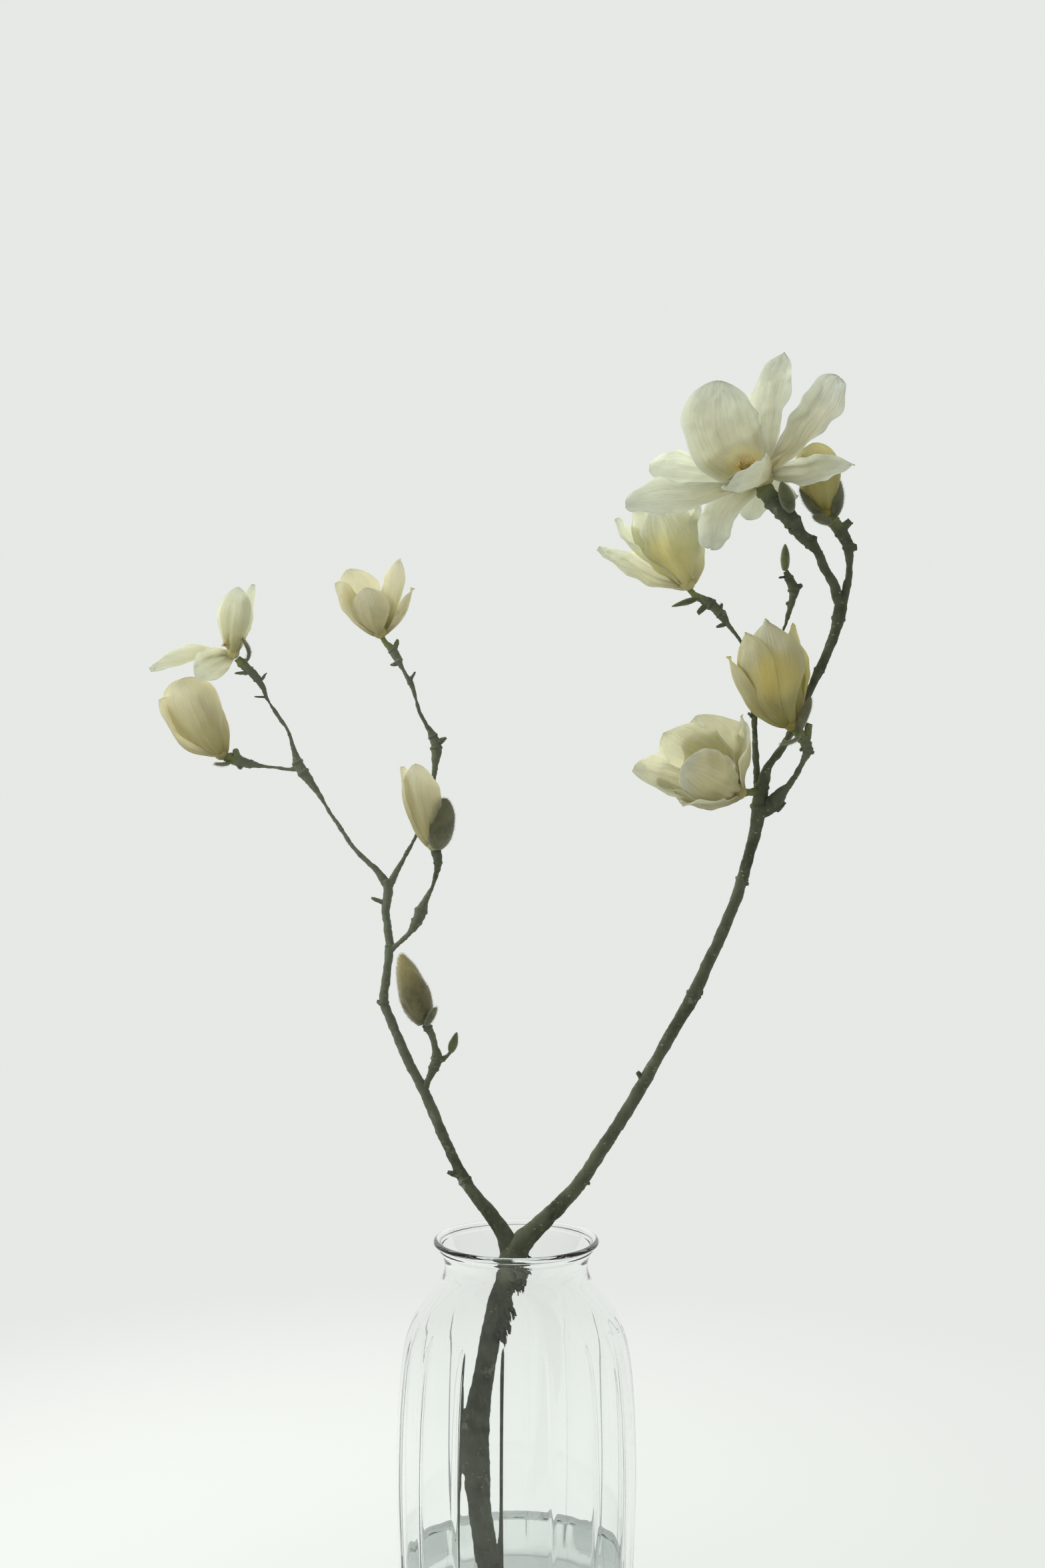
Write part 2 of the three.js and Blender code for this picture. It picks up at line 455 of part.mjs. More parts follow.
function vase() {
  const beadCentre = new THREE.Vector2(rimRadius - beadRadius, vaseHeight - beadRadius);
  const bead = [10, 90, 170].map((degrees) => {
    const angle = THREE.MathUtils.degToRad(degrees);
    return new THREE.Vector2(Math.cos(angle), Math.sin(angle))
      .multiplyScalar(beadRadius).add(beadCentre);
  });
  const inside = drawnIn(glassWall).slice(1, -1).reverse();
  const corner = inside.at(-1);
  const profile = [
    new THREE.Vector2(0, 0),
    new THREE.Vector2(footRadius, 0),
    ...outerWall,
    ...bead,
    ...inside,
    new THREE.Vector2(corner.x - floorCorner, floorThickness),
    new THREE.Vector2(0, floorThickness),
  ];
  return fluted(turned(profile), profile.length, 2, outerWall.length + 1);
}

function water(stem) {
  const skin = drawnIn(glassWall + gap).slice(1, -1);
  const wet = skin.filter((point) => point.y < waterLevel);
  const below = wet.at(-1);
  const above = skin[wet.length];
  const edge = below.clone().lerp(above, (waterLevel - below.y) / (above.y - below.y));
  const body = turned([
    new THREE.Vector2(0, floorThickness + gap),
    new THREE.Vector2(wet[0].x - floorCorner, floorThickness + gap),
    ...wet,
    edge,
    new THREE.Vector2(0, waterLevel),
  ]);
  return solidOf(body).subtract(stem);
}

// ---- wood ---------------------------------------------------------------------------

// A round limb through its points, made by bending a cylinder along them.
function limb(points, sides, grown) {
  const places = points.map(([across, up, depth]) => seen(across, up, depth));
  const steps = points.length - 1;
  const curve = new THREE.CatmullRomCurve3(places, false, 'centripetal');
  const rings = [];
  let normal = new THREE.Vector3(0, 1, 0);
  for (let step = 0; step <= steps; step += 1) {
    const centre = places[step].clone();
    const tangent = curve.getTangent(step / steps);
    if (step === 0) centre.addScaledVector(tangent, -grown);
    if (step === steps) centre.addScaledVector(tangent, grown);
    normal = normal.clone().addScaledVector(tangent, -normal.dot(tangent)).normalize();
    const across = normal.clone().cross(tangent);
    rings.push({ centre, normal, across, radius: points[step][3] + grown });
  }
  const geometry = new THREE.CylinderGeometry(1, 1, steps, sides, steps);
  const position = geometry.attributes.position;
  for (let vertex = 0; vertex < position.count; vertex += 1) {
    const ring = rings[Math.round(position.getY(vertex) + steps / 2)];
    const place = ring.centre.clone()
      .addScaledVector(ring.normal, position.getX(vertex) * ring.radius)
      .addScaledVector(ring.across, position.getZ(vertex) * ring.radius);
    position.setXYZ(vertex, ...place);
  }
  return solidOf(geometry);
}

function wood(grown) {
  const pieces = Object.entries(limbs).map(([name, points]) => {
    const thick = name === 'trunkAndRightLimb' || name === 'leftLimb';
    return limb(points, thick ? 8 : 5, grown);
  });
  for (const { from, to, radii } of spurs) {
    pieces.push(limb([[...from, radii[0]], [...to, radii[1]]], 4, grown));
  }
  const reach = 400;
  const underStem = new THREE.BoxGeometry(reach, reach, reach)
    .translate(0, 0, floorThickness + gap - grown - reach / 2);
  return joined(pieces).subtract(solidOf(underStem));
}

// ---- tepals and scales --------------------------------------------------------------

const tepalDefaults = {
  bow: 5, sway: 0, flare: 0, cup: 0.7, wide: 0.62, blunt: 0.6, claw: 0.18, wave: 0.6, lap: 1.4,
};
const scaleDefaults = { cup: 0.9, wide: 0.55, claw: 0.5, wave: 0, lap: 0 };

// Where a point of the tepal lies: s from root to tip, t from edge to edge (-1 to 1).
function tepalSurface(tepal, root, order) {
  const shape = { ...tepalDefaults, ...tepal };
  const tip = seen(...shape.tip);
  const chord = tip.clone().sub(root);
  const along = chord.clone().normalize();
  const inner = new THREE.Vector3(...shape.face);
  inner.addScaledVector(along, -inner.dot(along)).normalize();
  const side = along.clone().cross(inner);
  const widest = Math.log(0.5) / Math.log(shape.wide);

  const midrib = (s) => root.clone()
    .addScaledVector(chord, s)
    .addScaledVector(inner, -shape.bow * Math.sin(Math.PI * Math.max(s, 0) ** 0.76))
    .addScaledVector(inner, shape.flare * Math.sin(2 * Math.PI * s))
    .addScaledVector(side, shape.sway * Math.sin(Math.PI * s));

  return (s, t, spare) => {
    const inRange = THREE.MathUtils.clamp(s, 0, 1);
    const tangent = midrib(s + 0.01).sub(midrib(s - 0.01)).normalize();
    const up = inner.clone().addScaledVector(tangent, -inner.dot(tangent)).normalize();
    const out = tangent.clone().cross(up);
    const full = Math.sin(Math.PI * inRange ** widest) ** shape.blunt;
    const share = Math.max(shape.claw * (1 - inRange) ** 2 + full, 0.06);
    const half = (shape.width / 2) * Math.min(share, 1);
    const aside = t * (1 + spare / half);
    const roll = shape.cup * (1.25 - 0.6 * inRange);
    const ripple = Math.sin(2 * Math.PI * 1.3 * inRange + order + (t > 0 ? 1.7 : 0));
    const lift = (shape.lap * aside + shape.wave * ripple * aside * aside) * inRange;
    return midrib(s)
      .addScaledVector(out, (half * Math.sin(roll * aside)) / roll)
      .addScaledVector(up, (half * (1 - Math.cos(roll * aside))) / roll + lift);
  };
}

// A closed blade round a surface, both faces split into triangles alike.
function blade(surface, length, rows, columns, thickness, grown) {
  const positions = [];
  const index = [];
  const row = columns + 1;
  const faceSize = (rows + 1) * row;
  for (const face of [1, -1]) {
    for (let i = 0; i <= rows; i += 1) {
      const reach = Math.sin((Math.PI / 2) * (i / rows)) ** 1.25;
      const s = reach + (i === 0 ? -grown : 0) / length + (i === rows ? grown : 0) / length;
      for (let j = 0; j <= columns; j += 1) {
        const t = (2 * j) / columns - 1;
        const onFace = surface(s, t, grown);
        const lengthways = surface(s + 0.02, t, grown).sub(surface(s - 0.02, t, grown));
        const crossways = surface(s, t + 0.05, grown).sub(surface(s, t - 0.05, grown));
        const normal = lengthways.cross(crossways).normalize();
        onFace.addScaledVector(normal, face * (thickness / 2 + grown));
        positions.push(...onFace);
      }
    }
  }
  const quad = (a, b, c, d) => index.push(a, b, c, a, c, d);
  for (let i = 0; i < rows; i += 1) {
    for (let j = 0; j < columns; j += 1) {
      const a = i * row + j;
      const [b, c, d] = [a + row, a + row + 1, a + 1];
      quad(a, b, c, d);
      index.push(a + faceSize, c + faceSize, b + faceSize, a + faceSize, d + faceSize, c + faceSize);
    }
  }
  const rim = (a, b) => quad(b, a, a + faceSize, b + faceSize);
  for (let i = 0; i < rows; i += 1) {
    rim(i * row, (i + 1) * row);
    rim((i + 1) * row + columns, i * row + columns);
  }
  for (let j = 0; j < columns; j += 1) {
    rim(j + 1, j);
    rim(rows * row + j, rows * row + j + 1);
  }
  const geometry = new THREE.BufferGeometry();
  geometry.setAttribute('position', new THREE.Float32BufferAttribute(positions, 3));
  geometry.setIndex(index);
  return solidOf(geometry);
}

function tepalBlade(tepal, heart, order, thickness, grown) {
  const outward = new THREE.Vector3(...tepal.face).normalize().multiplyScalar(-rootSpread);
  const root = tepal.root ? seen(...tepal.root) : seen(...heart).add(outward);
  const length = seen(...tepal.tip).distanceTo(root);
  const rows = length > long ? 5 : 4;
  const columns = tepal.width > broad ? 4 : 3;
  return blade(tepalSurface(tepal, root, order), length, rows, columns, thickness, grown);
}

function tepalCluster(name, grown) {
  const { heart, core, tepals } = blooms[name];
  const centre = seen(...heart);
  const receptacle = new THREE.SphereGeometry(1, 6, 4)
    .scale(core[0] + grown, core[1] + grown, core[2] + grown)
    .translate(...centre);
  const blades = tepals.map((tepal, order) => (
    tepalBlade(tepal, heart, order, tepalThickness, grown)
  ));
  return joined([solidOf(receptacle), ...blades]);
}

function scaleCluster(name) {
  return scales[name].map((scale, order) => tepalBlade(
    { ...scaleDefaults, ...scale }, null, order, scaleThickness, 0,
  ));
}

// ---- turned pieces: hearts and closed buds ------------------------------------------

function pointed(base, tip, profile, sides) {
  const axis = tip.clone().sub(base);
  const points = profile.map(([radius, share]) => (
    new THREE.Vector2(radius, share * axis.length())
  ));
  const turn = new THREE.Quaternion()
    .setFromUnitVectors(new THREE.Vector3(0, 1, 0), axis.clone().normalize());
  return new THREE.LatheGeometry(points, sides).applyQuaternion(turn).translate(...base);
}

function bud({ base, tip, radius }, sides) {
  const shares = [
    [0, 0], [0.5, 0.02], [0.86, 0.16], [1, 0.36], [0.93, 0.56], [0.66, 0.78], [0.26, 0.95],
    [0, 1],
  ];
  const profile = shares.map(([share, along]) => [share * radius, along]);
  return solidOf(pointed(seen(...base), seen(...tip), profile, sides));
}

function bloomHeart(name) {
  const { toward, start, length, radius, stamens } = hearts[name];
  const axis = new THREE.Vector3(...toward).normalize();
  const base = seen(...blooms[name].heart).addScaledVector(axis, start);
  const tip = base.clone().addScaledVector(axis, length);
  const profile = [
    [0, 0], [1, 0.02], [1.06, 0.24], [0.9, 0.4], [0.9, 0.6], [0.5, 0.86], [0, 1],
  ].map(([share, along]) => [share * radius, along]);
  const pieces = [solidOf(pointed(base, tip, profile, 8))];
  const sideways = new THREE.Vector3(0, 0, 1).cross(axis).normalize();
  for (let count = 0; count < stamens; count += 1) {
    const around = sideways.clone().applyAxisAngle(axis, (2 * Math.PI * (count + 0.3)) / stamens);
    const lean = count % 2 ? 0.75 : 1.15;
    const direction = axis.clone().multiplyScalar(Math.cos(lean))
      .addScaledVector(around, Math.sin(lean));
    const foot = base.clone().addScaledVector(around, radius * 0.5)
      .addScaledVector(axis, radius * 0.5);
    const needle = [[0, 0], [0.55, 0.02], [0.6, 0.8], [0, 1]];
    const end = foot.clone().addScaledVector(direction, radius * 2);
    pieces.push(solidOf(pointed(foot, end, needle, 3)));
  }
  return joined(pieces);
}

// ---- assembly -----------------------------------------------------------------------

const finish = {
  glass: { color: '#dfe7e2', roughness: 0.03, metalness: 0, transparent: true, opacity: 0.3 },
  water: { color: '#cfdbd6', roughness: 0.02, metalness: 0, transparent: true, opacity: 0.4 },
  bark: { color: '#4b4f43', roughness: 0.8, metalness: 0 },
  tepal: { color: '#e6e7cf', roughness: 0.55, metalness: 0 },
  heart: { color: '#a8773c', roughness: 0.7, metalness: 0 },
  fuzz: { color: '#6d6a49', roughness: 0.95, metalness: 0 },
  leafBud: { color: '#5c6338', roughness: 0.8, metalness: 0 },
};

const branch = new THREE.Group();

function add(name, geometry, look) {
  geometry.computeVertexNormals();
  const mesh = new THREE.Mesh(geometry, new THREE.MeshStandardMaterial(finish[look]));
  mesh.name = name;
  branch.add(mesh);
}

const grownWood = wood(gap);
add('vase', mainShell(solidOf(vase())), 'glass');
add('water', mainShell(water(grownWood)), 'water');
add('branch_wood', mainShell(wood(0)), 'bark');

for (const name of Object.keys(blooms)) {
  const keptClear = joined([tepalCluster(name, gap), grownWood]);
  add(`${name}_tepals`, mainShell(tepalCluster(name, 0).subtract(grownWood)), 'tepal');
  if (hearts[name]) {
    add(`${name}_heart`, mainShell(bloomHeart(name).subtract(keptClear)), 'heart');
  }
  (scales[name] ? scaleCluster(name) : []).forEach((scale, order) => {
    add(`${name}_scale_${order + 1}`, mainShell(scale.subtract(keptClear)), 'fuzz');
  });
}

for (const [name, shape] of Object.entries(leafBuds)) {
  add(name, mainShell(bud(shape, 7).subtract(grownWood)), 'leafBud');
}

const budSkin = bud({ ...fuzzyBud, radius: fuzzyBud.radius + 2 * gap }, 11);
const looseScale = tepalBlade(
  { ...scaleDefaults, ...fuzzyBudScale }, null, 0, scaleThickness, 0,
);
add('bloom_10_bud', mainShell(bud(fuzzyBud, 11).subtract(grownWood)), 'fuzz');
add('bloom_10_scale', mainShell(looseScale.subtract(budSkin).subtract(grownWood)), 'fuzz');

export default branch;
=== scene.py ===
# A cut magnolia branch in flower, standing in a clear glass vase with a little water.
# Sizes are millimetres in the dictionaries and metres in Blender.
import math
import random

import bpy
from mathutils import Matrix, Vector, noise


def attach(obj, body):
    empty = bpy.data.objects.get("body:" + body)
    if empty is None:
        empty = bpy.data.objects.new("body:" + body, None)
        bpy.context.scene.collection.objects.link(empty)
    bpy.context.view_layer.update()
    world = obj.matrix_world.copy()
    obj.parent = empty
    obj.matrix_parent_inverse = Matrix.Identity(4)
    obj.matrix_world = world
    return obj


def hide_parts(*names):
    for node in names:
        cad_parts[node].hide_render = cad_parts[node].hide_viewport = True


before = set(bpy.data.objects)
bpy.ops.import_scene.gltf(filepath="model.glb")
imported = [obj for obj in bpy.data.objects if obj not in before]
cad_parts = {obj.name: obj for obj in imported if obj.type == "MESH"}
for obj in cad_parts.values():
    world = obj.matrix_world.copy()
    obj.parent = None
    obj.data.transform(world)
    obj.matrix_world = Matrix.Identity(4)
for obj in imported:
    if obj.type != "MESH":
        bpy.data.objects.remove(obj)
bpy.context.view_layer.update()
bpy.ops.object.select_all(action="DESELECT")
mm = 0.001
fullTurn = 2 * math.pi

# The branch's places are given as they look from in front: across and up on the plane
# through the middle of the vase, and the depth behind that plane.
eye = {"across": 3.4, "back": 1166, "up": 520, "tiltDown": 2.2, "lens": 50, "sensor": 36,
       "clipFrom": 50}


def seen(across, up, depth):
    reach = 1 + depth / eye["back"]
    x = eye["across"] + (across - eye["across"]) * reach
    z = eye["up"] + (up - eye["up"]) * reach
    return Vector((x, depth, z)) * mm


# ---- small helpers


def only(piece):
    bpy.ops.object.select_all(action="DESELECT")
    piece.select_set(True)
    bpy.context.view_layer.objects.active = piece


def joinAll(pieces, name):
    whole = pieces[0]
    only(whole)
    for piece in pieces[1:]:
        piece.select_set(True)
    bpy.ops.object.join()
    whole.name = name
    whole.data.name = name
    return whole


def applied(piece, kind, **settings):
    only(piece)
    modifier = piece.modifiers.new(kind.lower(), kind)
    for key, value in settings.items():
        setattr(modifier, key, value)
    bpy.ops.object.modifier_apply(modifier=modifier.name)


def smooth(piece):
    only(piece)
    bpy.ops.object.shade_smooth()


def newPiece(mesh):
    piece = bpy.data.objects.new(mesh.name, mesh)
    bpy.context.collection.objects.link(piece)
    return piece


def fromCorners(name, corners, edges, faces):
    mesh = bpy.data.meshes.new(name)
    mesh.from_pydata(corners, edges, faces)
    return newPiece(mesh)


def aimed(direction):
    # Turns the Z axis to the direction.
    return direction.to_track_quat("Z", "Y").to_matrix().to_4x4()


def placed(pattern, foot, direction, size):
    copy = newPiece(pattern.data.copy())
    copy.data.transform(Matrix.Translation(foot) @ aimed(direction) @ Matrix.Diagonal((*size, 1)))
    return copy


def mark(piece, name, values):
    # A number for each point of the mesh, which its material reads.
    marks = piece.data.attributes.new(name, "FLOAT", "POINT")
    marks.data.foreach_set("value", values)


def smoothStep(low, high, value):
    f = min(max((value - low) / (high - low), 0), 1)
    return f * f * (3 - 2 * f)


def standFor(piece, slot, *nodes):
    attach(piece, "root")
    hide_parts(*nodes)


def wears(piece, *materials):
    piece.data.materials.clear()
    for material in materials:
        piece.data.materials.append(material)


# ---- shader maths


class Shade:
    def __init__(self, tree, socket=None):
        self.tree = tree
        self.socket = socket

    def node(self, kind, settings, inputs, output=0):
        made = self.tree.nodes.new(kind)
        for key, value in settings.items():
            setattr(made, key, value)
        for key, value in inputs.items():
            if isinstance(value, Shade):
                self.tree.links.new(value.socket, made.inputs[key])
            else:
                made.inputs[key].default_value = value
        return Shade(self.tree, made.outputs[output])

    def maths(self, operation, first, second):
        return self.node("ShaderNodeMath", {"operation": operation}, {0: first, 1: second})

    def __add__(self, other):
        return self.maths("ADD", self, other)

    def __sub__(self, other):
        return self.maths("SUBTRACT", self, other)

    def __rsub__(self, other):
        return self.maths("SUBTRACT", other, self)

    def __mul__(self, other):
        return self.maths("MULTIPLY", self, other)

    def between(self, low, high):
        return self.node("ShaderNodeMapRange", {"interpolation_type": "SMOOTHSTEP"},
                         {"Value": self, "From Min": low, "From Max": high})

    def blend(self, first, second, how="MIX"):
        colours = {6: first, 7: second}
        for key, value in colours.items():
            if isinstance(value, tuple):
                colours[key] = (*value, 1)
        return self.node("ShaderNodeMix", {"data_type": "RGBA", "blend_type": how},
                         {0: self, **colours}, output=2)

    def ramp(self, stops):
        # A ramp is made with two stops, so only the others are added.
        made = self.node("ShaderNodeValToRGB", {}, {"Fac": self})
        elements = made.socket.node.color_ramp.elements
        for place, colour in stops[2:]:
            elements.new(place)
        for element, (place, colour) in zip(elements, stops):
            element.position = place
            element.color = (*colour, 1)
        return made

    def stretched(self, *sizes):
        return self.node("ShaderNodeMapping", {}, {"Vector": self, "Scale": sizes})

    def cloud(self, scale, detail, roughness=0.55):
        return self.node("ShaderNodeTexNoise", {}, {
            "Vector": self, "Scale": scale, "Detail": detail, "Roughness": roughness})

    def cells(self, scale):
        return self.node("ShaderNodeTexVoronoi", {}, {"Vector": self, "Scale": scale})

    def part(self, axis):
        return self.node("ShaderNodeSeparateXYZ", {}, {0: self}, output=axis)

    def marked(self, name):
        return self.node("ShaderNodeAttribute", {"attribute_name": name}, {}, output="Fac")

    def bump(self, strength, distance, normal=None):
        inputs = {"Height": self, "Strength": strength, "Distance": distance * mm}
        if normal:
            inputs["Normal"] = normal
        return self.node("ShaderNodeBump", {}, inputs)


def newMaterial(name, **finish):
    # Also gives the surface and the place on the object, which most patterns start from.
    material = bpy.data.materials.new(name)
    material.use_nodes = True
    surface = material.node_tree.nodes["Principled BSDF"]
    for key, value in finish.items():
        surface.inputs[key.replace("_", " ")].default_value = value
    place = Shade(material.node_tree).node("ShaderNodeTexCoord", {}, {}, output="Object")
    return material, surface, place


def plug(surface, **wires):
    for key, value in wires.items():
        value.tree.links.new(value.socket, surface.inputs[key.replace("_", " ")])


# ---- camera, light and floor

stage = {
    "air": (0.81, 0.828, 0.80), "airBehind": 0.98, "airInFront": 0.58, "airChanges": (-1, 0.6),
    "floorColour": (0.44, 0.45, 0.44), "floorGlow": (0.30, 0.31, 0.30),
    "floorRadius": 900, "floorSides": 96, "floorFade": (240, 820),
    "bounces": 32, "insideGlass": 13,
}
lamps = {
    "window": {"at": (-800, 1450, 1300), "size": 1200, "watts": 27, "colour": (0.985, 1, 0.96)},
    "side": {"at": (-1500, -100, 1350), "size": 500, "watts": 16, "colour": (0.985, 1, 0.97)},
}
lampsAimAt = (0, 0, 400)


def makeCamera():
    bpy.ops.object.camera_add(
        location=Vector((eye["across"], -eye["back"], eye["up"])) * mm,
        rotation=(math.radians(90 - eye["tiltDown"]), 0, 0))
    camera = bpy.context.object
    camera.data.lens = eye["lens"]
    camera.data.sensor_width = eye["sensor"]
    camera.data.clip_start = eye["clipFrom"] * mm
    bpy.context.scene.camera = camera


def makeLamp(name, lamp):
    bpy.ops.object.light_add(type="AREA", location=Vector(lamp["at"]) * mm)
    light = bpy.context.object
    light.name = name
    light.data.size = lamp["size"] * mm
    light.data.energy = lamp["watts"]
    light.data.color = lamp["colour"]
    aim = Vector(lampsAimAt) * mm - light.location
    light.rotation_euler = aim.to_track_quat("-Z", "Y").to_euler()
    light.visible_camera = False
    light.visible_glossy = False
    light.visible_transmission = False


def makeAir():
    # Bright behind the branch and dimmer on the camera's side, as in front of a window.
    scene = bpy.context.scene
    world = bpy.data.worlds.new("paleAir")
    world.use_nodes = True
    air = world.node_tree.nodes["Background"]
    air.inputs["Color"].default_value = (*stage["air"], 1)
    heading = Shade(world.node_tree).node("ShaderNodeTexCoord", {}, {}, output="Generated")
    span = stage["airBehind"] - stage["airInFront"]
    behind = heading.part("Y").between(*stage["airChanges"])
    plug(air, Strength=behind * span + stage["airInFront"])
    scene.world = world
    scene.view_settings.view_transform = "Standard"
    scene.cycles.max_bounces = scene.cycles.transmission_bounces = stage["bounces"]
    scene.cycles.glossy_bounces = stage["insideGlass"]  # light runs far inside a glass wall


def makeFloor():
    bpy.ops.mesh.primitive_circle_add(
        vertices=stage["floorSides"], radius=stage["floorRadius"] * mm, fill_type="TRIFAN")
    floor = bpy.context.object
    floor.name = "floor"
    material, surface, place = newMaterial(
        "paleFloor", Base_Color=(*stage["floorColour"], 1), Roughness=0.8,
        Emission_Color=(*stage["floorGlow"], 1), Emission_Strength=1)
    away = place.node("ShaderNodeVectorMath", {"operation": "LENGTH"}, {0: place}, output="Value")
    near, far = stage["floorFade"]
    plug(surface, Alpha=1 - away.between(near * mm, far * mm))
    wears(floor, material)


makeCamera()
for lampName, lamp in lamps.items():
    makeLamp(lampName, lamp)
makeAir()
makeFloor()
print("stage ready")

# ---- materials

tepalTints = {
    "ivory": {"base": (0.70, 0.61, 0.30), "throat": (0.78, 0.74, 0.48), "vein": (0.58, 0.62, 0.50),
              "blade": (0.72, 0.75, 0.65), "tip": (0.88, 0.91, 0.86), "glow": (0.90, 0.92, 0.83),
              "paleRim": 0.6},
    "pearl": {"base": (0.74, 0.66, 0.28), "throat": (0.91, 0.84, 0.48), "vein": (0.76, 0.79, 0.66),
              "blade": (0.86, 0.87, 0.79), "tip": (0.88, 0.91, 0.87), "glow": (0.96, 0.97, 0.86),
              "paleRim": 0.5},
    "shaded": {"base": (0.50, 0.44, 0.16), "throat": (0.76, 0.70, 0.40), "vein": (0.66, 0.67, 0.52),
               "blade": (0.79, 0.79, 0.66), "tip": (0.90, 0.92, 0.87), "glow": (0.93, 0.92, 0.77),
              "paleRim": 0.6},
    "cream": {"base": (0.42, 0.38, 0.10), "throat": (0.62, 0.55, 0.19), "vein": (0.68, 0.65, 0.38),
              "blade": (0.76, 0.72, 0.42), "tip": (0.90, 0.92, 0.86), "glow": (0.91, 0.86, 0.50),
              "paleRim": 0.2},
    "straw": {"base": (0.52, 0.46, 0.18), "throat": (0.78, 0.71, 0.42), "vein": (0.78, 0.77, 0.61),
              "blade": (0.88, 0.86, 0.75), "tip": (0.88, 0.89, 0.83), "glow": (0.97, 0.94, 0.77),
              "paleRim": 0.3},
}
# Stops of colour from foot to tip, and how far the veins are drawn out across and along.
tepalSkin = {
    "stops": {"base": 0.05, "tip": 0.92, "throat": 0.19, "blade": 0.42},
    "mottle": 45, "mottleShift": 0.16, "veins": (26, 1.6, 1), "fineVeins": (95, 4, 1),
    "yellow": (0.84, 0.73, 0.28), "orange": (0.60, 0.33, 0.03), "bruise": (0.50, 0.36, 0.16),
    "lets": {"everywhere": 0.32, "blade": 0.24, "margin": 0.14, "dense": 0.4},
}
barkColours = {
    "stops": [(0.28, (0.022, 0.029, 0.017)), (0.78, (0.165, 0.185, 0.118)),
              (0.5, (0.070, 0.083, 0.050))],
    "grain": (0.125, 0.135, 0.088), "lichen": (0.27, 0.285, 0.225), "lenticel": (0.33, 0.26, 0.16),
    "leftLimb": (0.20, 0.225, 0.165), "green": (0.16, 0.19, 0.065), "paleGreen": (0.26, 0.28, 0.11),
}


def tepalMaterial(name, tint):
    material, surface, place = newMaterial(
        name, Roughness=0.55, Specular_IOR_Level=0.3, Sheen_Weight=0.15)
    sheet = place.node("ShaderNodeUVMap", {"uv_map": "UVMap"}, {})
    reach, off = sheet.part("Y"), sheet.part("X") - 0.5
    margin = off * off * 4
    mottle = (place.cloud(tepalSkin["mottle"], 4) - 0.5) * tepalSkin["mottleShift"]
    colour = (reach + mottle).ramp([(at, tint[key]) for key, at in tepalSkin["stops"].items()])
    veins = sheet.stretched(*tepalSkin["veins"]).cloud(1, 4, 0.6)
    fine = sheet.stretched(*tepalSkin["fineVeins"]).cloud(1, 2)
    colour = (veins.between(0.44, 0.66) * 0.5).blend(colour, tint["vein"], "MULTIPLY")
    colour = (fine.between(0.48, 0.68) * 0.3).blend(colour, tint["vein"], "MULTIPLY")
    # A golden mark near the heart; on bloom 5 the same mark is painted shade on the front tepal.
    stainAndShade = place.marked("stainAndShade")
    colour = (stainAndShade.between(0, 0.55) * 0.85).blend(colour, tepalSkin["yellow"])
    colour = stainAndShade.between(0.5, 1).blend(colour, tepalSkin["orange"])
    colour = (margin.between(0.5, 1) * tint["paleRim"]).blend(colour, tint["tip"])
    bruise = place.cloud(120, 2).between(0.72, 0.80) * 0.35
    colour = bruise.blend(colour, tepalSkin["bruise"])
    lines = (veins * 0.7 + fine * 0.3).bump(1, 0.9)
    bumps = place.cloud(160, 3).bump(0.5, 0.7, lines)
    plug(surface, Base_Color=colour, Normal=bumps)
    lets = tepalSkin["lets"]
    light = reach.between(0.02, 0.3) * lets["blade"] + margin * lets["margin"]
    light = light - place.marked("dense") * lets["dense"] + lets["everywhere"]
    through = place.node("ShaderNodeBsdfTranslucent", {}, {
        "Color": (*tint["glow"], 1), "Normal": bumps})
    own = Shade(place.tree, surface.outputs[0])
    mixed = place.node("ShaderNodeMixShader", {}, {0: light, 1: own, 2: through})
    plug(place.tree.nodes["Material Output"], Surface=mixed)
    return material


def barkMaterial():
    material, surface, place = newMaterial("magnoliaBark", Specular_IOR_Level=0.35)
    broad = place.cloud(28, 5)
    grain = place.stretched(1, 1, 0.35).cloud(420, 5, 0.65)
    colour = (broad * 0.55 + place.cloud(110, 4, 0.6) * 0.45).ramp(barkColours["stops"])
    colour = (grain.between(0.5, 0.72) * 0.6).blend(colour, barkColours["grain"])
    lichen = place.cloud(75, 6, 0.7).between(0.60, 0.70)
    colour = (lichen * 0.55).blend(colour, barkColours["lichen"])
    spots = place.stretched(1, 1, 1.7).cells(190)
    lenticels = (1 - spots.between(0.10, 0.22)) * place.cloud(60, 1).between(0.46, 0.56)
    colour = (lenticels * 0.75).blend(colour, barkColours["lenticel"])
    toLeft = (0 - place.part("X")).between(0.025, 0.075)
    colour = (toLeft * 0.45).blend(colour, barkColours["leftLimb"])
    green = grain.blend(barkColours["green"], barkColours["paleGreen"])
    colour = (place.marked("young") * 0.8).blend(colour, green)
    plug(surface, Base_Color=colour, Roughness=0.92 - grain.between(0.4, 0.8) * 0.22,
         Normal=(grain * 0.55 + lenticels * 0.5 + broad * 0.6).bump(0.8, 0.7))
    return material


def fuzzMaterial(name, dark, light, high):
    material, surface, place = newMaterial(
        name, Roughness=0.9, Sheen_Weight=0.6, Sheen_Roughness=0.5)
    patches = place.cloud(130, 4)
    strands = place.stretched(1, 1, 0.3).cloud(900, 3, 0.6)
    colour = patches.between(0.32, 0.7).blend(dark, light)
    colour = (strands.between(0.4, 0.75) * 0.5).blend(colour, light)
    colour = (place.marked("risen").between(0.3, 0.9) * 0.7).blend(colour, high)
    plug(surface, Base_Color=colour, Normal=(strands * 0.6 + patches * 0.4).bump(0.7, 0.5))
    return material


def hairMaterial(name, colour, pale):
    material, surface, place = newMaterial(name, Roughness=0.6)
    bright = place.cloud(300, 2).between(0.35, 0.65) * 0.5 + place.marked("risen") * 0.5
    plug(surface, Base_Color=bright.blend(colour, pale))
    return material


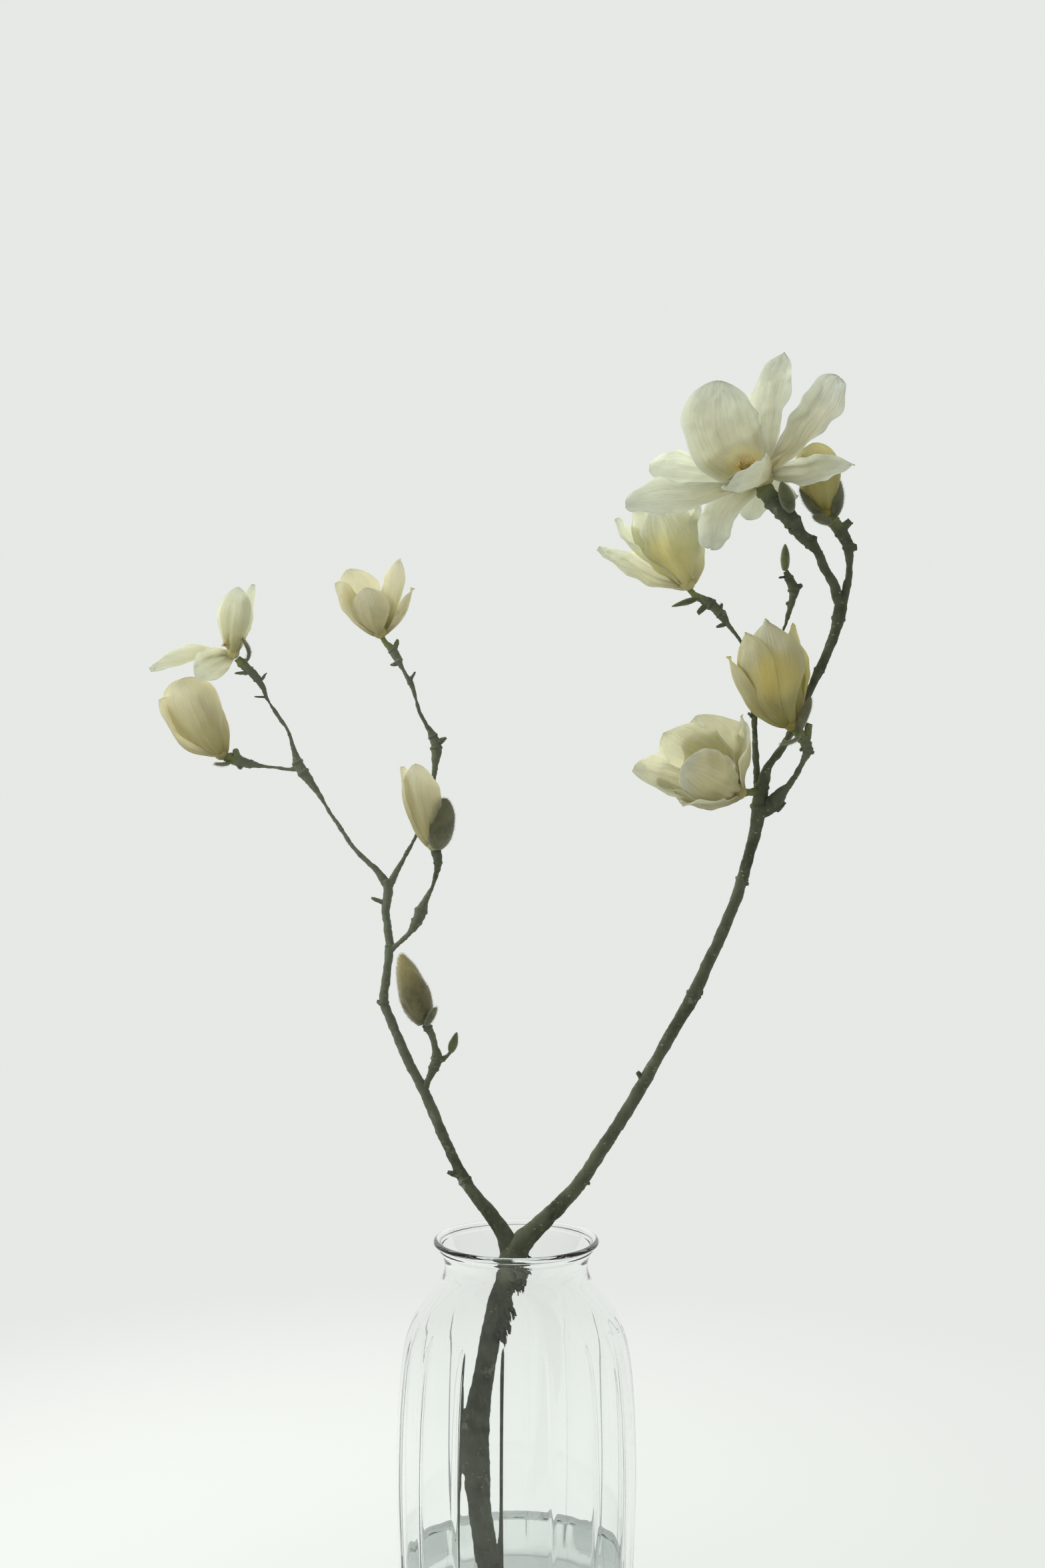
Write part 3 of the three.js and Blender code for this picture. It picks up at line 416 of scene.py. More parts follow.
def heartMaterial(brown, gold):
    material, surface, place = newMaterial(
        "stamensAndCarpels", Roughness=0.6, Subsurface_Weight=0.2, Subsurface_Scale=2 * mm)
    plug(surface, Base_Color=place.cloud(240, 3).between(0.35, 0.68).blend(brown, gold),
         Normal=place.cloud(900, 3).bump(0.5, 0.3))
    return material


def clearMaterial(name, thick, thin, ior):
    material, surface, place = newMaterial(name, Transmission_Weight=1, Roughness=0, IOR=ior)
    plug(surface, Base_Color=place.cloud(22, 3).between(0.3, 0.7).blend(thick, thin))
    return material


tepalCoats = {name: tepalMaterial(f"tepal_{name}", tint) for name, tint in tepalTints.items()}
barkCoat = barkMaterial()
scaleCoat = fuzzMaterial("fuzzyScale", (0.060, 0.064, 0.028), (0.17, 0.17, 0.085),
                         (0.17, 0.165, 0.085))
budCoat = fuzzMaterial("closedBud", (0.050, 0.050, 0.018), (0.17, 0.155, 0.062), (0.46, 0.39, 0.17))
leafBudCoat = fuzzMaterial("leafBud", (0.046, 0.060, 0.022), (0.135, 0.150, 0.058),
                           (0.11, 0.125, 0.050))
silverHair = hairMaterial("silverHair", (0.20, 0.205, 0.125), (0.32, 0.328, 0.20))
goldHair = hairMaterial("goldHair", (0.24, 0.205, 0.10), (0.384, 0.328, 0.16))
heartCoat = heartMaterial((0.36, 0.26, 0.07), (0.68, 0.54, 0.22))
glassCoat = clearMaterial("clearGlass", (0.966, 0.982, 0.972), (0.982, 0.991, 0.986), 1.40)
waterCoat = clearMaterial("clearWater", (0.895, 0.945, 0.928), (0.935, 0.968, 0.955), 1.333)
print("materials ready")

# ---- vase and water

vase = {
    # radius, height: outside from heel to neck, then the bead, then down inside
    "outside": [
        (52, 0), (56.5, 1.6), (59.6, 7), (61.4, 20), (63.1, 45), (64.5, 78), (65, 100),
        (64.8, 118), (64, 140), (62.2, 161), (60, 174.5), (56.6, 184.5), (52, 192.4),
        (46.5, 199.2), (41.6, 205.8), (39, 211.8), (38.7, 217.4), (40.4, 222.2),
        (41.7, 224.2), (41.9, 225.3), (42.6, 226.4),
    ],
    "bead": {"centre": (42.9, 228.2), "radius": 1.7, "from": -80, "to": 190, "steps": 14},
    "inside": [
        (39.4, 226.2), (37.5, 222.4), (35.8, 217.6), (36.1, 211.4), (38.8, 204.3),
        (43.8, 197.6), (49.4, 190.8), (53.9, 183), (57.2, 173.4), (59.3, 160.4), (61, 139.6),
        (61.8, 118), (62, 100), (61.5, 78), (60.1, 45), (58.5, 20), (56.8, 12.6), (53.6, 9.6),
        (48, 9), (24, 9),
    ],
    "smoothing": 3, "turns": 320, "flutes": 16, "fluteDepth": 0.75, "fluteWidth": 1.1,
    "firstCrease": -95.7, "closeToCrease": 0.35, "fluteFoot": (4, 26), "fluteTop": (168, 192),
    "fluteBeyond": 53, "fluteBelow": 195, "wallReach": 0.3,
    "streaks": 9, "streakDepth": 0.16, "streakLength": 400, "streakFoot": (16, 30), "streakTop": 190,
}
water = {"level": 57, "meniscus": 1.0, "intoGlass": 0.12, "reach": 3, "vaseFloor": 10,
         "curve": [(1.2, 0.3), (3.5, 0)], "turns": 128}
shellWeld = 0.02


def turnedShell(name, outline, turns):
    # An outline of radius and height, from axis to axis, spun round.
    points = [(0, outline[0][1])] + outline + [(0, outline[-1][1])]
    piece = fromCorners(name, [(r * mm, 0, z * mm) for r, z in points],
                        [(at, at + 1) for at in range(len(points) - 1)], [])
    only(piece)
    bpy.ops.object.mode_set(mode="EDIT")
    bpy.ops.mesh.select_all(action="SELECT")
    bpy.ops.mesh.spin(steps=turns, angle=fullTurn, center=(0, 0, 0), axis=(0, 0, 1))
    bpy.ops.mesh.select_all(action="SELECT")
    bpy.ops.mesh.remove_doubles(threshold=shellWeld * mm)
    bpy.ops.mesh.normals_make_consistent(inside=False)
    bpy.ops.object.mode_set(mode="OBJECT")
    return piece


def rounded(points, perSpan):
    # More points on a smooth curve through these.
    out = []
    for at in range(len(points) - 1):
        before, start = Vector(points[max(at - 1, 0)]), Vector(points[at])
        end, after = Vector(points[at + 1]), Vector(points[min(at + 2, len(points) - 1)])
        for step in range(perSpan):
            f = step / perSpan
            out.append(tuple(0.5 * (2 * start + (end - before) * f
                                    + (2 * before - 5 * start + 4 * end - after) * f * f
                                    + (3 * start - before - 3 * end + after) * f ** 3)))
    return out + [tuple(points[-1])]


def beadRing(bead):
    ring = []
    for step in range(bead["steps"] + 1):
        angle = math.radians(bead["from"] + (bead["to"] - bead["from"]) * step / bead["steps"])
        ring.append((bead["centre"][0] + bead["radius"] * math.cos(angle),
                     bead["centre"][1] + bead["radius"] * math.sin(angle)))
    return ring


def gatheredTurn(turn):
    # The angle in degrees from the nearest crease, and that crease's own angle. The spun
    # points are gathered towards the creases, which need them most.
    pitch = 360 / vase["flutes"]
    near = vase["closeToCrease"]
    share = ((turn + pitch / 2) % pitch - pitch / 2) / (pitch / 2)
    part = share * (near + (1 - near) * share * share) * pitch / 2
    return part, math.floor((turn + pitch / 2) / pitch) * pitch + vase["firstCrease"]


def makeVase():
    outside = rounded(vase["outside"], vase["smoothing"])
    inside = rounded(vase["inside"], vase["smoothing"])
    piece = turnedShell("vaseGlass", outside + beadRing(vase["bead"]) + inside, vase["turns"])
    streakFoot, streakTop = vase["streakFoot"][0], vase["streakTop"]
    for vertex in piece.data.vertices:
        radius = math.hypot(vertex.co.x, vertex.co.y) / mm
        height = vertex.co.z / mm
        part, crease = gatheredTurn(math.degrees(math.atan2(vertex.co.y, vertex.co.x)))
        angle = math.radians(part + crease)
        isInside = min(abs(radius - r) + abs(height - z) for r, z in outside) >= vase["wallReach"]
        if isInside and streakFoot < height < streakTop:
            streak = noise.noise(Vector((angle * vase["streaks"], 3.1, height / vase["streakLength"])))
            radius += vase["streakDepth"] * streak * smoothStep(*vase["streakFoot"], height)
        elif not isInside and radius > vase["fluteBeyond"] and height < vase["fluteBelow"]:
            strength = smoothStep(*vase["fluteFoot"], height)
            strength *= 1 - smoothStep(*vase["fluteTop"], height)
            off = abs(math.radians(part)) * radius
            radius -= strength * vase["fluteDepth"] * math.exp(-(off / vase["fluteWidth"]) ** 2)
        vertex.co.x = radius * mm * math.cos(angle)
        vertex.co.y = radius * mm * math.sin(angle)
    smooth(piece)
    wears(piece, glassCoat)
    standFor(piece, "clear_glass", "vase")


def makeWater():
    level, into = water["level"], water["intoGlass"]
    inside = rounded(vase["inside"], vase["smoothing"])
    wall = [point for point in inside if point[1] < level - water["reach"]]
    above = [point for point in inside if point[1] >= level - water["reach"]]
    edge = (above[-1][0] + wall[0][0]) / 2
    skin = [(r + into, z - into * (z < water["vaseFloor"])) for r, z in wall]
    top = [(edge / 2, level)] + [(edge - inwards, level + up) for inwards, up in water["curve"][::-1]]
    top.append((edge + into, level + water["meniscus"]))
    piece = turnedShell("waterBody", top + skin, water["turns"])
    smooth(piece)
    wears(piece, waterCoat)
    standFor(piece, "water", "water")


makeVase()
makeWater()
print("vase and water ready")

# ---- wood: across, up, depth, radius

limbs = {
    "trunkAndRightLimb": [
        (-10.5, -2, -17.5, 6.2), (-11, 22, -15, 6.2), (-14, 42, -10, 6.3), (-17, 62, -6, 6.2),
        (-20, 82, -2, 6.2), (-21.4, 102, 2, 7), (-22, 120, 6, 7.2), (-20.4, 140, 10, 6.6),
        (-17, 160, 14.5, 5.4), (-14, 176, 17.5, 5.5), (-10, 192, 20.6, 6.1),
        (-5.4, 207, 23, 6.4), (-1.8, 219, 25, 7.2), (2.5, 227, 26.6, 6.4), (9, 233.5, 27, 5.3),
        (17.8, 242, 27, 4.6), (26.8, 251, 26.5, 4.2), (34.5, 260, 26, 3.9),
        (42, 271.5, 24.5, 3.7), (50.5, 284.5, 23, 3.6), (60.4, 300, 21, 3.5),
        (68.5, 314, 19.5, 3.5), (76.8, 329, 17.5, 3.3), (86, 345, 16, 3.3),
        (95.6, 362, 14.5, 3.6), (103.6, 380, 13, 3.2), (111, 396, 11.5, 3.1),
        (117.2, 411, 10.5, 3), (121.3, 424, 9.5, 3.1), (125.2, 438, 8.5, 3),
        (128.4, 451, 7, 3.5), (130.4, 463, 6, 4.1), (131.8, 474, 5.6, 3.6),
        (135, 484, 5.3, 2.3), (141.3, 493, 5, 2), (147.5, 503, 4.5, 2), (152.8, 515, 4, 1.9),
        (157.4, 526, 3.5, 2.1), (162.2, 536, 3, 2.5), (166.4, 545.5, 2.5, 2.5),
        (169.6, 554, 2, 2.7), (172.3, 563.5, 1.5, 3.3), (173.6, 574.5, 1, 3.5),
    ],
    "bloom1Twig": [
        (173, 571, 1, 3), (169, 583, 0.5, 2.5), (164.6, 590.5, 0, 2.4), (161.5, 598, -0.5, 2.4),
        (157.4, 603.8, -1, 3.2), (152, 608.4, -1.5, 3.5), (147.6, 615, -2, 4.3),
        (142.6, 620.8, -2, 4.8), (137, 626.4, -2, 4.8), (132.8, 631.4, -2, 4.4),
        (130.6, 634.4, -2, 3.4),
    ],
    "bloom2Twig": [
        (174, 571.5, 1, 2.9), (177, 583, 3, 2), (177.9, 594, 6, 2), (177, 602, 8, 2.9),
        (173.4, 609.6, 10, 3.3), (169.4, 615.2, 11, 3.1), (167, 618.4, 12, 2.7),
    ],
    "bloom4Twig": [
        (131, 459, 6.5, 3.2), (137.4, 464.6, 4, 4.2), (142.6, 470.6, 0, 2.9),
        (146.6, 475, -3, 1.9), (150.6, 481.4, -7, 1.4), (154, 488, -10, 1.7),
        (156, 494, -12, 2.6), (153.6, 499.6, -12, 2.9), (149.4, 504.6, -12, 2.6),
    ],
    "bloom3Twig": [
        (130.6, 468, 6, 2.6), (129, 480, 9, 1.8), (128.3, 492, 14, 1.6), (127.8, 504, 19, 1.4),
        (127.5, 512, 22, 1.7), (128, 521, 25, 1.3), (127.4, 530, 29, 1.2), (124, 541, 34, 1),
        (119.5, 552.4, 39, 0.95), (113.5, 560, 43, 1.4), (109.4, 566, 45, 2.6),
        (104.4, 571, 47, 2.9), (99.4, 574, 48, 2.4), (95.6, 576, 49, 1.9),
        (92.6, 579.4, 50, 1.7),
    ],
    "middleTwig": [
        (127.8, 526, 27, 1.2), (133, 538, 31, 1), (138.6, 548, 33, 0.95),
        (142.5, 556.5, 34, 0.95), (145.4, 565.5, 35, 1.3), (147.3, 573, 35.5, 1.9),
        (148.3, 579, 36, 2.8), (145.6, 585, 36, 2.3), (143.8, 589, 36, 1.6),
    ],
    "bloom5Twig": [(130.4, 471, 6, 2.6), (125.4, 471, 2.5, 2), (121.8, 470.6, 0, 2.1)],
    "leftLimb": [
        (-2.4, 216, 26, 6), (-4, 226, 27, 5.3), (-8.7, 235.5, 28.5, 4.4), (-15, 244.4, 30, 3.7),
        (-20.8, 251.4, 31, 3.4), (-27.6, 261, 33.5, 3.3), (-32.8, 271, 36, 3),
        (-37.4, 281, 39, 2.9), (-41.8, 291, 41.5, 2.9), (-46.3, 302, 44.5, 2.9),
        (-50.6, 311.6, 47, 2.8), (-55.4, 320.6, 49, 2.7), (-60, 330, 51.5, 2.7),
        (-64.3, 340, 54, 2.6), (-67.8, 349, 56.5, 2.6), (-71, 357.4, 58.5, 2.7),
        (-70.4, 367, 60.5, 2.4), (-69, 378, 63, 2.3), (-68, 388, 65.5, 2.5),
        (-69.4, 399, 68, 2.2), (-70, 409, 70, 2.5), (-68.8, 418, 72, 2.7), (-69, 424, 73, 3.1),
    ],
    "bloom7Twig": [
        (-68.8, 420, 72.5, 2.5), (-74.6, 428.6, 75, 1.9), (-81, 434.6, 77, 1.4),
        (-87.6, 441.6, 80, 1.3), (-93.6, 450.6, 83, 1.2), (-100, 460, 86, 1),
        (-104.6, 468, 88, 1.3), (-109, 474.6, 90, 2.2), (-114, 481.4, 92, 3.1),
        (-117, 486.6, 93, 2.9), (-118.4, 491.6, 94, 1.7), (-120.5, 499, 95, 1.1),
        (-122.6, 504.4, 95, 1), (-126.6, 510.6, 96, 0.9), (-130.6, 516.4, 97, 0.9),
        (-133.4, 521, 97, 1.1), (-135.4, 527, 97, 1.5), (-138.6, 531.6, 97, 2.3),
        (-142.6, 536, 97, 2.5), (-146.6, 540, 97, 2.5), (-149.2, 542.6, 97, 2.1),
    ],
    "bloom8Twig": [
        (-115.6, 484.6, 92.5, 2.4), (-120.6, 483, 94, 1.2), (-128, 484, 97, 0.9),
        (-135.6, 484.8, 99, 1.1), (-142.4, 485.8, 101, 2.3), (-148.4, 487.4, 103, 3),
        (-153.4, 489, 104, 2.8), (-156, 490, 104, 2.4),
    ],
    "bloom6Twig": [
        (-68, 420.4, 72.5, 2.3), (-64, 428.6, 75, 1.7), (-60, 436, 77, 1.2), (-56, 443, 79, 1.1),
        (-51.6, 451, 81, 1), (-47.6, 460, 83, 1), (-45, 470, 84, 1), (-44, 478.6, 85, 1.2),
        (-43.3, 487, 86, 2.1), (-42.7, 494.6, 87, 3), (-44.6, 500.6, 87.5, 2.4),
        (-48, 506.6, 88, 1.1), (-51.6, 513.6, 89, 0.95), (-54, 522, 90, 0.9),
        (-56.4, 529.4, 91, 1.6), (-60, 535.4, 92, 1), (-62.6, 541, 93, 2.1),
        (-66, 546.8, 94, 2.4), (-69.8, 550.8, 95, 1.6), (-71.8, 553.6, 95, 1.4),
    ],
    "bloom9Twig": [
        (-67.6, 386, 65, 2.2), (-62, 390.4, 63, 1.4), (-57, 395.6, 60, 1.5),
        (-53.2, 401.4, 57.5, 2.8), (-51, 407, 56, 3.2), (-49, 412, 55, 2),
        (-45.8, 418.4, 53.5, 1.1), (-43.3, 425.6, 52.5, 1.3), (-42.2, 433, 52, 2.3),
        (-43, 439.6, 52, 2.9),
    ],
    "bloom10Twig": [
        (-50, 309.6, 47, 2.3), (-47, 316.6, 45.5, 1.8), (-44.4, 322, 44.5, 2.7),
        (-42.7, 327.4, 44, 2.9), (-43.7, 333, 43, 1.9), (-45, 339, 41.5, 1.7),
        (-47.5, 343.6, 40.5, 2.2), (-49, 345.8, 40, 2.2),
    ],
    "sideTwig": [(-42, 325.6, 44, 1.9), (-38, 328, 44, 1.3), (-35.4, 330.6, 44, 0.95)],
}
# Short spurs, bud scars and node bumps: from, to, radius at either end.
spurs = [
    ((-31, 263.6, 33.5), (-37, 265.8, 33), 1.8, 1), ((-69.6, 356, 58), (-75, 358.4, 58), 2, 0.7),
    ((-70, 411, 70.5), (-78, 414, 70.5), 1.7, 0.6), ((35, 261, 26), (40, 259.2, 25.5), 2, 0.8),
    ((68.4, 315.6, 19.5), (65.2, 320, 19), 1.9, 1),
    ((96.4, 363.4, 14.5), (100.6, 362.6, 14), 2.2, 1.2),
    ((120.8, 422.4, 9.5), (125.2, 421.4, 9), 2, 0.9), ((138.6, 462, 5), (143.6, 466, 4.5), 3, 1.6),
    ((-134, 521.6, 97), (-140, 522, 96), 0.9, 0.4), ((-137, 530, 97), (-133.4, 534.8, 97), 1.2, 0.4),
    ((-142, 534.6, 97), (-150.6, 534.4, 95), 1.4, 0.5),
    ((-149, 488, 103), (-150.4, 494, 102), 2.2, 1.4), ((-147, 486, 103), (-148.4, 483.2, 102), 1.8, 1.2),
    ((-43, 496.6, 87), (-37.4, 499.8, 86), 2.2, 0.7), ((-57, 530, 91), (-54, 535.4, 91), 1.3, 0.5),
    ((-62, 540, 93), (-67, 538.8, 93), 1.4, 0.4), ((-65.6, 546.4, 94), (-63.2, 552.4, 94), 1.6, 0.6),
    ((-50, 411, 55.5), (-48, 415.6, 55.5), 1.6, 1), ((158, 604, -1), (159.4, 607.6, -1.5), 2.2, 1.4),
    ((149, 612, -2), (146.4, 609.4, -3), 2.6, 1.8), ((177, 601, 8), (182, 601.6, 7), 2.4, 1.6),
    ((173.4, 611, 10), (178.4, 615.6, 9.5), 2.6, 1.8), ((108.4, 567, 45.5), (110, 572, 45), 1.7, 0.8),
    ((112.4, 561, 43.5), (107, 559, 43), 1.3, 0.5), ((102, 571, 47.5), (97, 566.4, 46.5), 1.8, 1.1),
    ((148.4, 579, 36), (152.6, 581.6, 36), 2, 0.9), ((146.8, 571, 35.5), (144.4, 572, 35), 1.2, 0.6),
    ((145, 586, 36), (140.2, 585.4, 35.5), 1.1, 0.4), ((127.6, 510, 21.5), (124.2, 513.2, 21), 1.3, 0.6),
    ((156, 493, -12), (159.4, 491.8, -12), 1.6, 0.8), ((155.4, 499, -12), (157, 507.4, -12), 2.3, 1.4),
    ((154.6, 494.6, -12), (152.2, 493.2, -13), 1.4, 0.7),
]
wood = {
    "seed": 11, "footHeight": 9.3, "ringStep": 6, "roundness": 4, "fullness": 1.05,
    "spurBend": 0.7, "weld": 0.01,
    "knobs": {"size": 5, "depth": 1.3}, "grain": {"size": 1.8, "depth": 0.5},
    "rings": {"swell": 1.03, "reach": 0.5, "stand": 1.2, "foot": 0.94, "thickest": 5},
    "youngReach": (7, 15),
    "warts": {"count": 420, "radius": (0.3, 0.62), "longer": 1.4, "height": 0.5},
}
# Loose bark: how high it starts and ends, how many flakes, the way it faces, how far out
# it stands.
looseBark = [
    {"heights": (200, 216), "flakes": 30, "faces": (1, -0.4), "spread": 1.0, "stand": 4.6},
    {"heights": (174, 192), "flakes": 28, "faces": (1, -0.3), "spread": 0.9, "stand": 3.8},
    {"heights": (40, 70), "flakes": 22, "faces": (1, -0.6), "spread": 1.0, "stand": 3},
]
flake = {"length": (4, 10), "width": (3, 7), "thickness": 0.5, "torn": 2.4, "lean": 0.35,
         "taper": 0.35, "ragged": 0.2, "sunk": 0.3, "curl": 1.6, "cells": (4, 5)}


def limbTube(points):
    bpy.ops.curve.primitive_bezier_curve_add(enter_editmode=False)
    limb = bpy.context.object
    spline = limb.data.splines[0]
    spline.bezier_points.add(len(points) - 2)
    for knot, (across, up, depth, radius) in zip(spline.bezier_points, points):
        knot.co = seen(across, up, depth)
        knot.radius = radius
        knot.handle_left_type = knot.handle_right_type = "AUTO"
    spline.radius_interpolation = "CARDINAL"
    limb.location = (0, 0, 0)
    limb.data.dimensions = "3D"
    limb.data.bevel_depth = wood["fullness"] * mm
    limb.data.bevel_resolution = wood["roundness"]
    limb.data.resolution_u = wood["ringStep"]
    limb.data.use_fill_caps = True
    only(limb)
    bpy.ops.object.convert(target="MESH")
    return bpy.context.object


def spurPoints(start, end, thick, thin):
    mid = [a + (b - a) * wood["spurBend"] for a, b in zip(start, end)]
    return [(*start, thick), (*mid, (thick + thin) / 2), (*end, thin)]


def trunkAt(height):
    # The trunk's middle and radius at a height in millimetres.
    knots = [(seen(*knot[:3]) / mm, knot[3]) for knot in limbs["trunkAndRightLimb"]]
    for (low, thick), (high, thin) in zip(knots, knots[1:]):
        if low.z <= height <= high.z:
            share = (height - low.z) / (high.z - low.z)
            return low.lerp(high, share), thick + (thin - thick) * share
    return knots[0]


def makeFlake(patch, draw):
    middle, radius = trunkAt(draw.uniform(*patch["heights"]))
    turn = math.atan2(patch["faces"][1], patch["faces"][0]) + draw.uniform(-1, 1) * patch["spread"]
    out = Vector((math.cos(turn), math.sin(turn), 0))
    side = Vector((-math.sin(turn), math.cos(turn), 0))
    length, width = draw.uniform(*flake["length"]), draw.uniform(*flake["width"])
    stand = patch["stand"] * draw.random()
    lean = draw.uniform(-flake["lean"], flake["lean"])
    bpy.ops.mesh.primitive_grid_add(
        x_subdivisions=flake["cells"][0], y_subdivisions=flake["cells"][1], size=1)
    piece = bpy.context.object
    for vertex in piece.data.vertices:
        across, down = vertex.co.x * 2, 0.5 - vertex.co.y
        half = width / 2 * (1 - flake["taper"] * down) * (1 + flake["ragged"] * draw.random())
        drop = down * (length + flake["torn"] * draw.uniform(-1, 1) * down)
        wrapped = half * half * across * across / radius / 2
        away = radius - flake["sunk"] + stand * down ** flake["curl"] - wrapped
        place = middle + out * away + side * (half * across + lean * drop)
        place.z -= drop
        vertex.co = place * mm
    piece.data.update()
    applied(piece, "SOLIDIFY", thickness=flake["thickness"] * mm, offset=0)
    return piece


def makeWarts(bark, draw):
    # Small corky spots that stand out of the bark.
    pieces = []
    form = wood["warts"]
    bpy.ops.mesh.primitive_ico_sphere_add(subdivisions=1, radius=1)
    pattern = bpy.context.object
    for count in range(form["count"]):
        spot = bark.data.polygons[draw.randrange(len(bark.data.polygons))]
        radius = draw.uniform(*form["radius"]) * mm
        size = (radius, radius * form["longer"], radius * form["height"])
        pieces.append(placed(pattern, spot.center, spot.normal, size))
    bpy.data.objects.remove(pattern)
    return pieces


def nodeRings(points):
    # A collar wherever a limb is thicker than on both sides of it.
    form, rings = wood["rings"], []
    for before, knot, after in zip(points, points[1:], points[2:]):
        middle, thick = Vector(knot[:3]), knot[3]
        if thick > form["thickest"] or thick <= form["swell"] * (before[3] + after[3]) / 2:
            continue
        toward = (Vector(after[:3]) - Vector(before[:3])).normalized() * form["reach"] * thick
        foot, top = [(*(middle + toward * far), thick * form["foot"]) for far in (-1, 1)]
        rings.append(limbTube([foot, (*middle, thick * form["stand"]), top]))
    return rings


def makeWood():
    draw = random.Random(wood["seed"])
    tubes = [limbTube(points) for points in limbs.values()]
    for points in limbs.values():
        tubes += nodeRings(points)
    tubes += [limbTube(spurPoints(*spur)) for spur in spurs]
    piece = joinAll(tubes, "branchBark")
    bpy.ops.object.mode_set(mode="EDIT")
    bpy.ops.mesh.select_all(action="SELECT")
    bpy.ops.mesh.remove_doubles(threshold=wood["weld"] * mm)
    bpy.ops.mesh.normals_make_consistent(inside=False)
    bpy.ops.mesh.select_all(action="SELECT")
    bpy.ops.mesh.bisect(plane_co=(0, 0, wood["footHeight"] * mm), plane_no=(0, 0, 1),
                        clear_inner=True, use_fill=True)
    bpy.ops.object.mode_set(mode="OBJECT")
    applied(piece, "SUBSURF", levels=1, render_levels=1)
    extras = makeWarts(piece, draw)
    for patch in looseBark:
        extras += [makeFlake(patch, draw) for count in range(patch["flakes"])]
    piece = joinAll([piece] + extras, "branchBark")
    for kind in ("knobs", "grain"):
        clouds = bpy.data.textures.new(kind, "CLOUDS")
        clouds.noise_scale = wood[kind]["size"] * mm
        clouds.noise_depth = 2
        applied(piece, "DISPLACE", texture=clouds, texture_coords="GLOBAL",
                strength=wood[kind]["depth"] * mm, mid_level=0.5)
    markYoungEnds(piece)
    smooth(piece)
    wears(piece, barkCoat)
    standFor(piece, "bark", "branch_wood")


def markYoungEnds(piece):
    # The twigs are green where they carry a bloom.
    ends = [seen(*bloom["heart"]) for bloom in blooms.values() if "woodyFoot" not in bloom]
    young = []
    for vertex in piece.data.vertices:
        away = min((vertex.co - end).length for end in ends) / mm
        young.append(1 - smoothStep(*wood["youngReach"], away))
    mark(piece, "young", young)


# ---- blooms
# A tepal runs from its bloom's heart, or from a root of its own, to its tip. face is the
# way its inner side looks. bow bulges it outwards, sway bends it sideways, flare turns its
# end outwards, cup is how far it is rolled across, in radians at half width, wide is where
# along it it is widest, blunt is low for a square end, claw is its share of the width at
# the root. dense is how much less light comes through it than through the others.


def tepal(tip, face, width, bow, cup, **own):
    return {"tip": tip, "face": face, "width": width, "bow": bow, "cup": cup, **own}


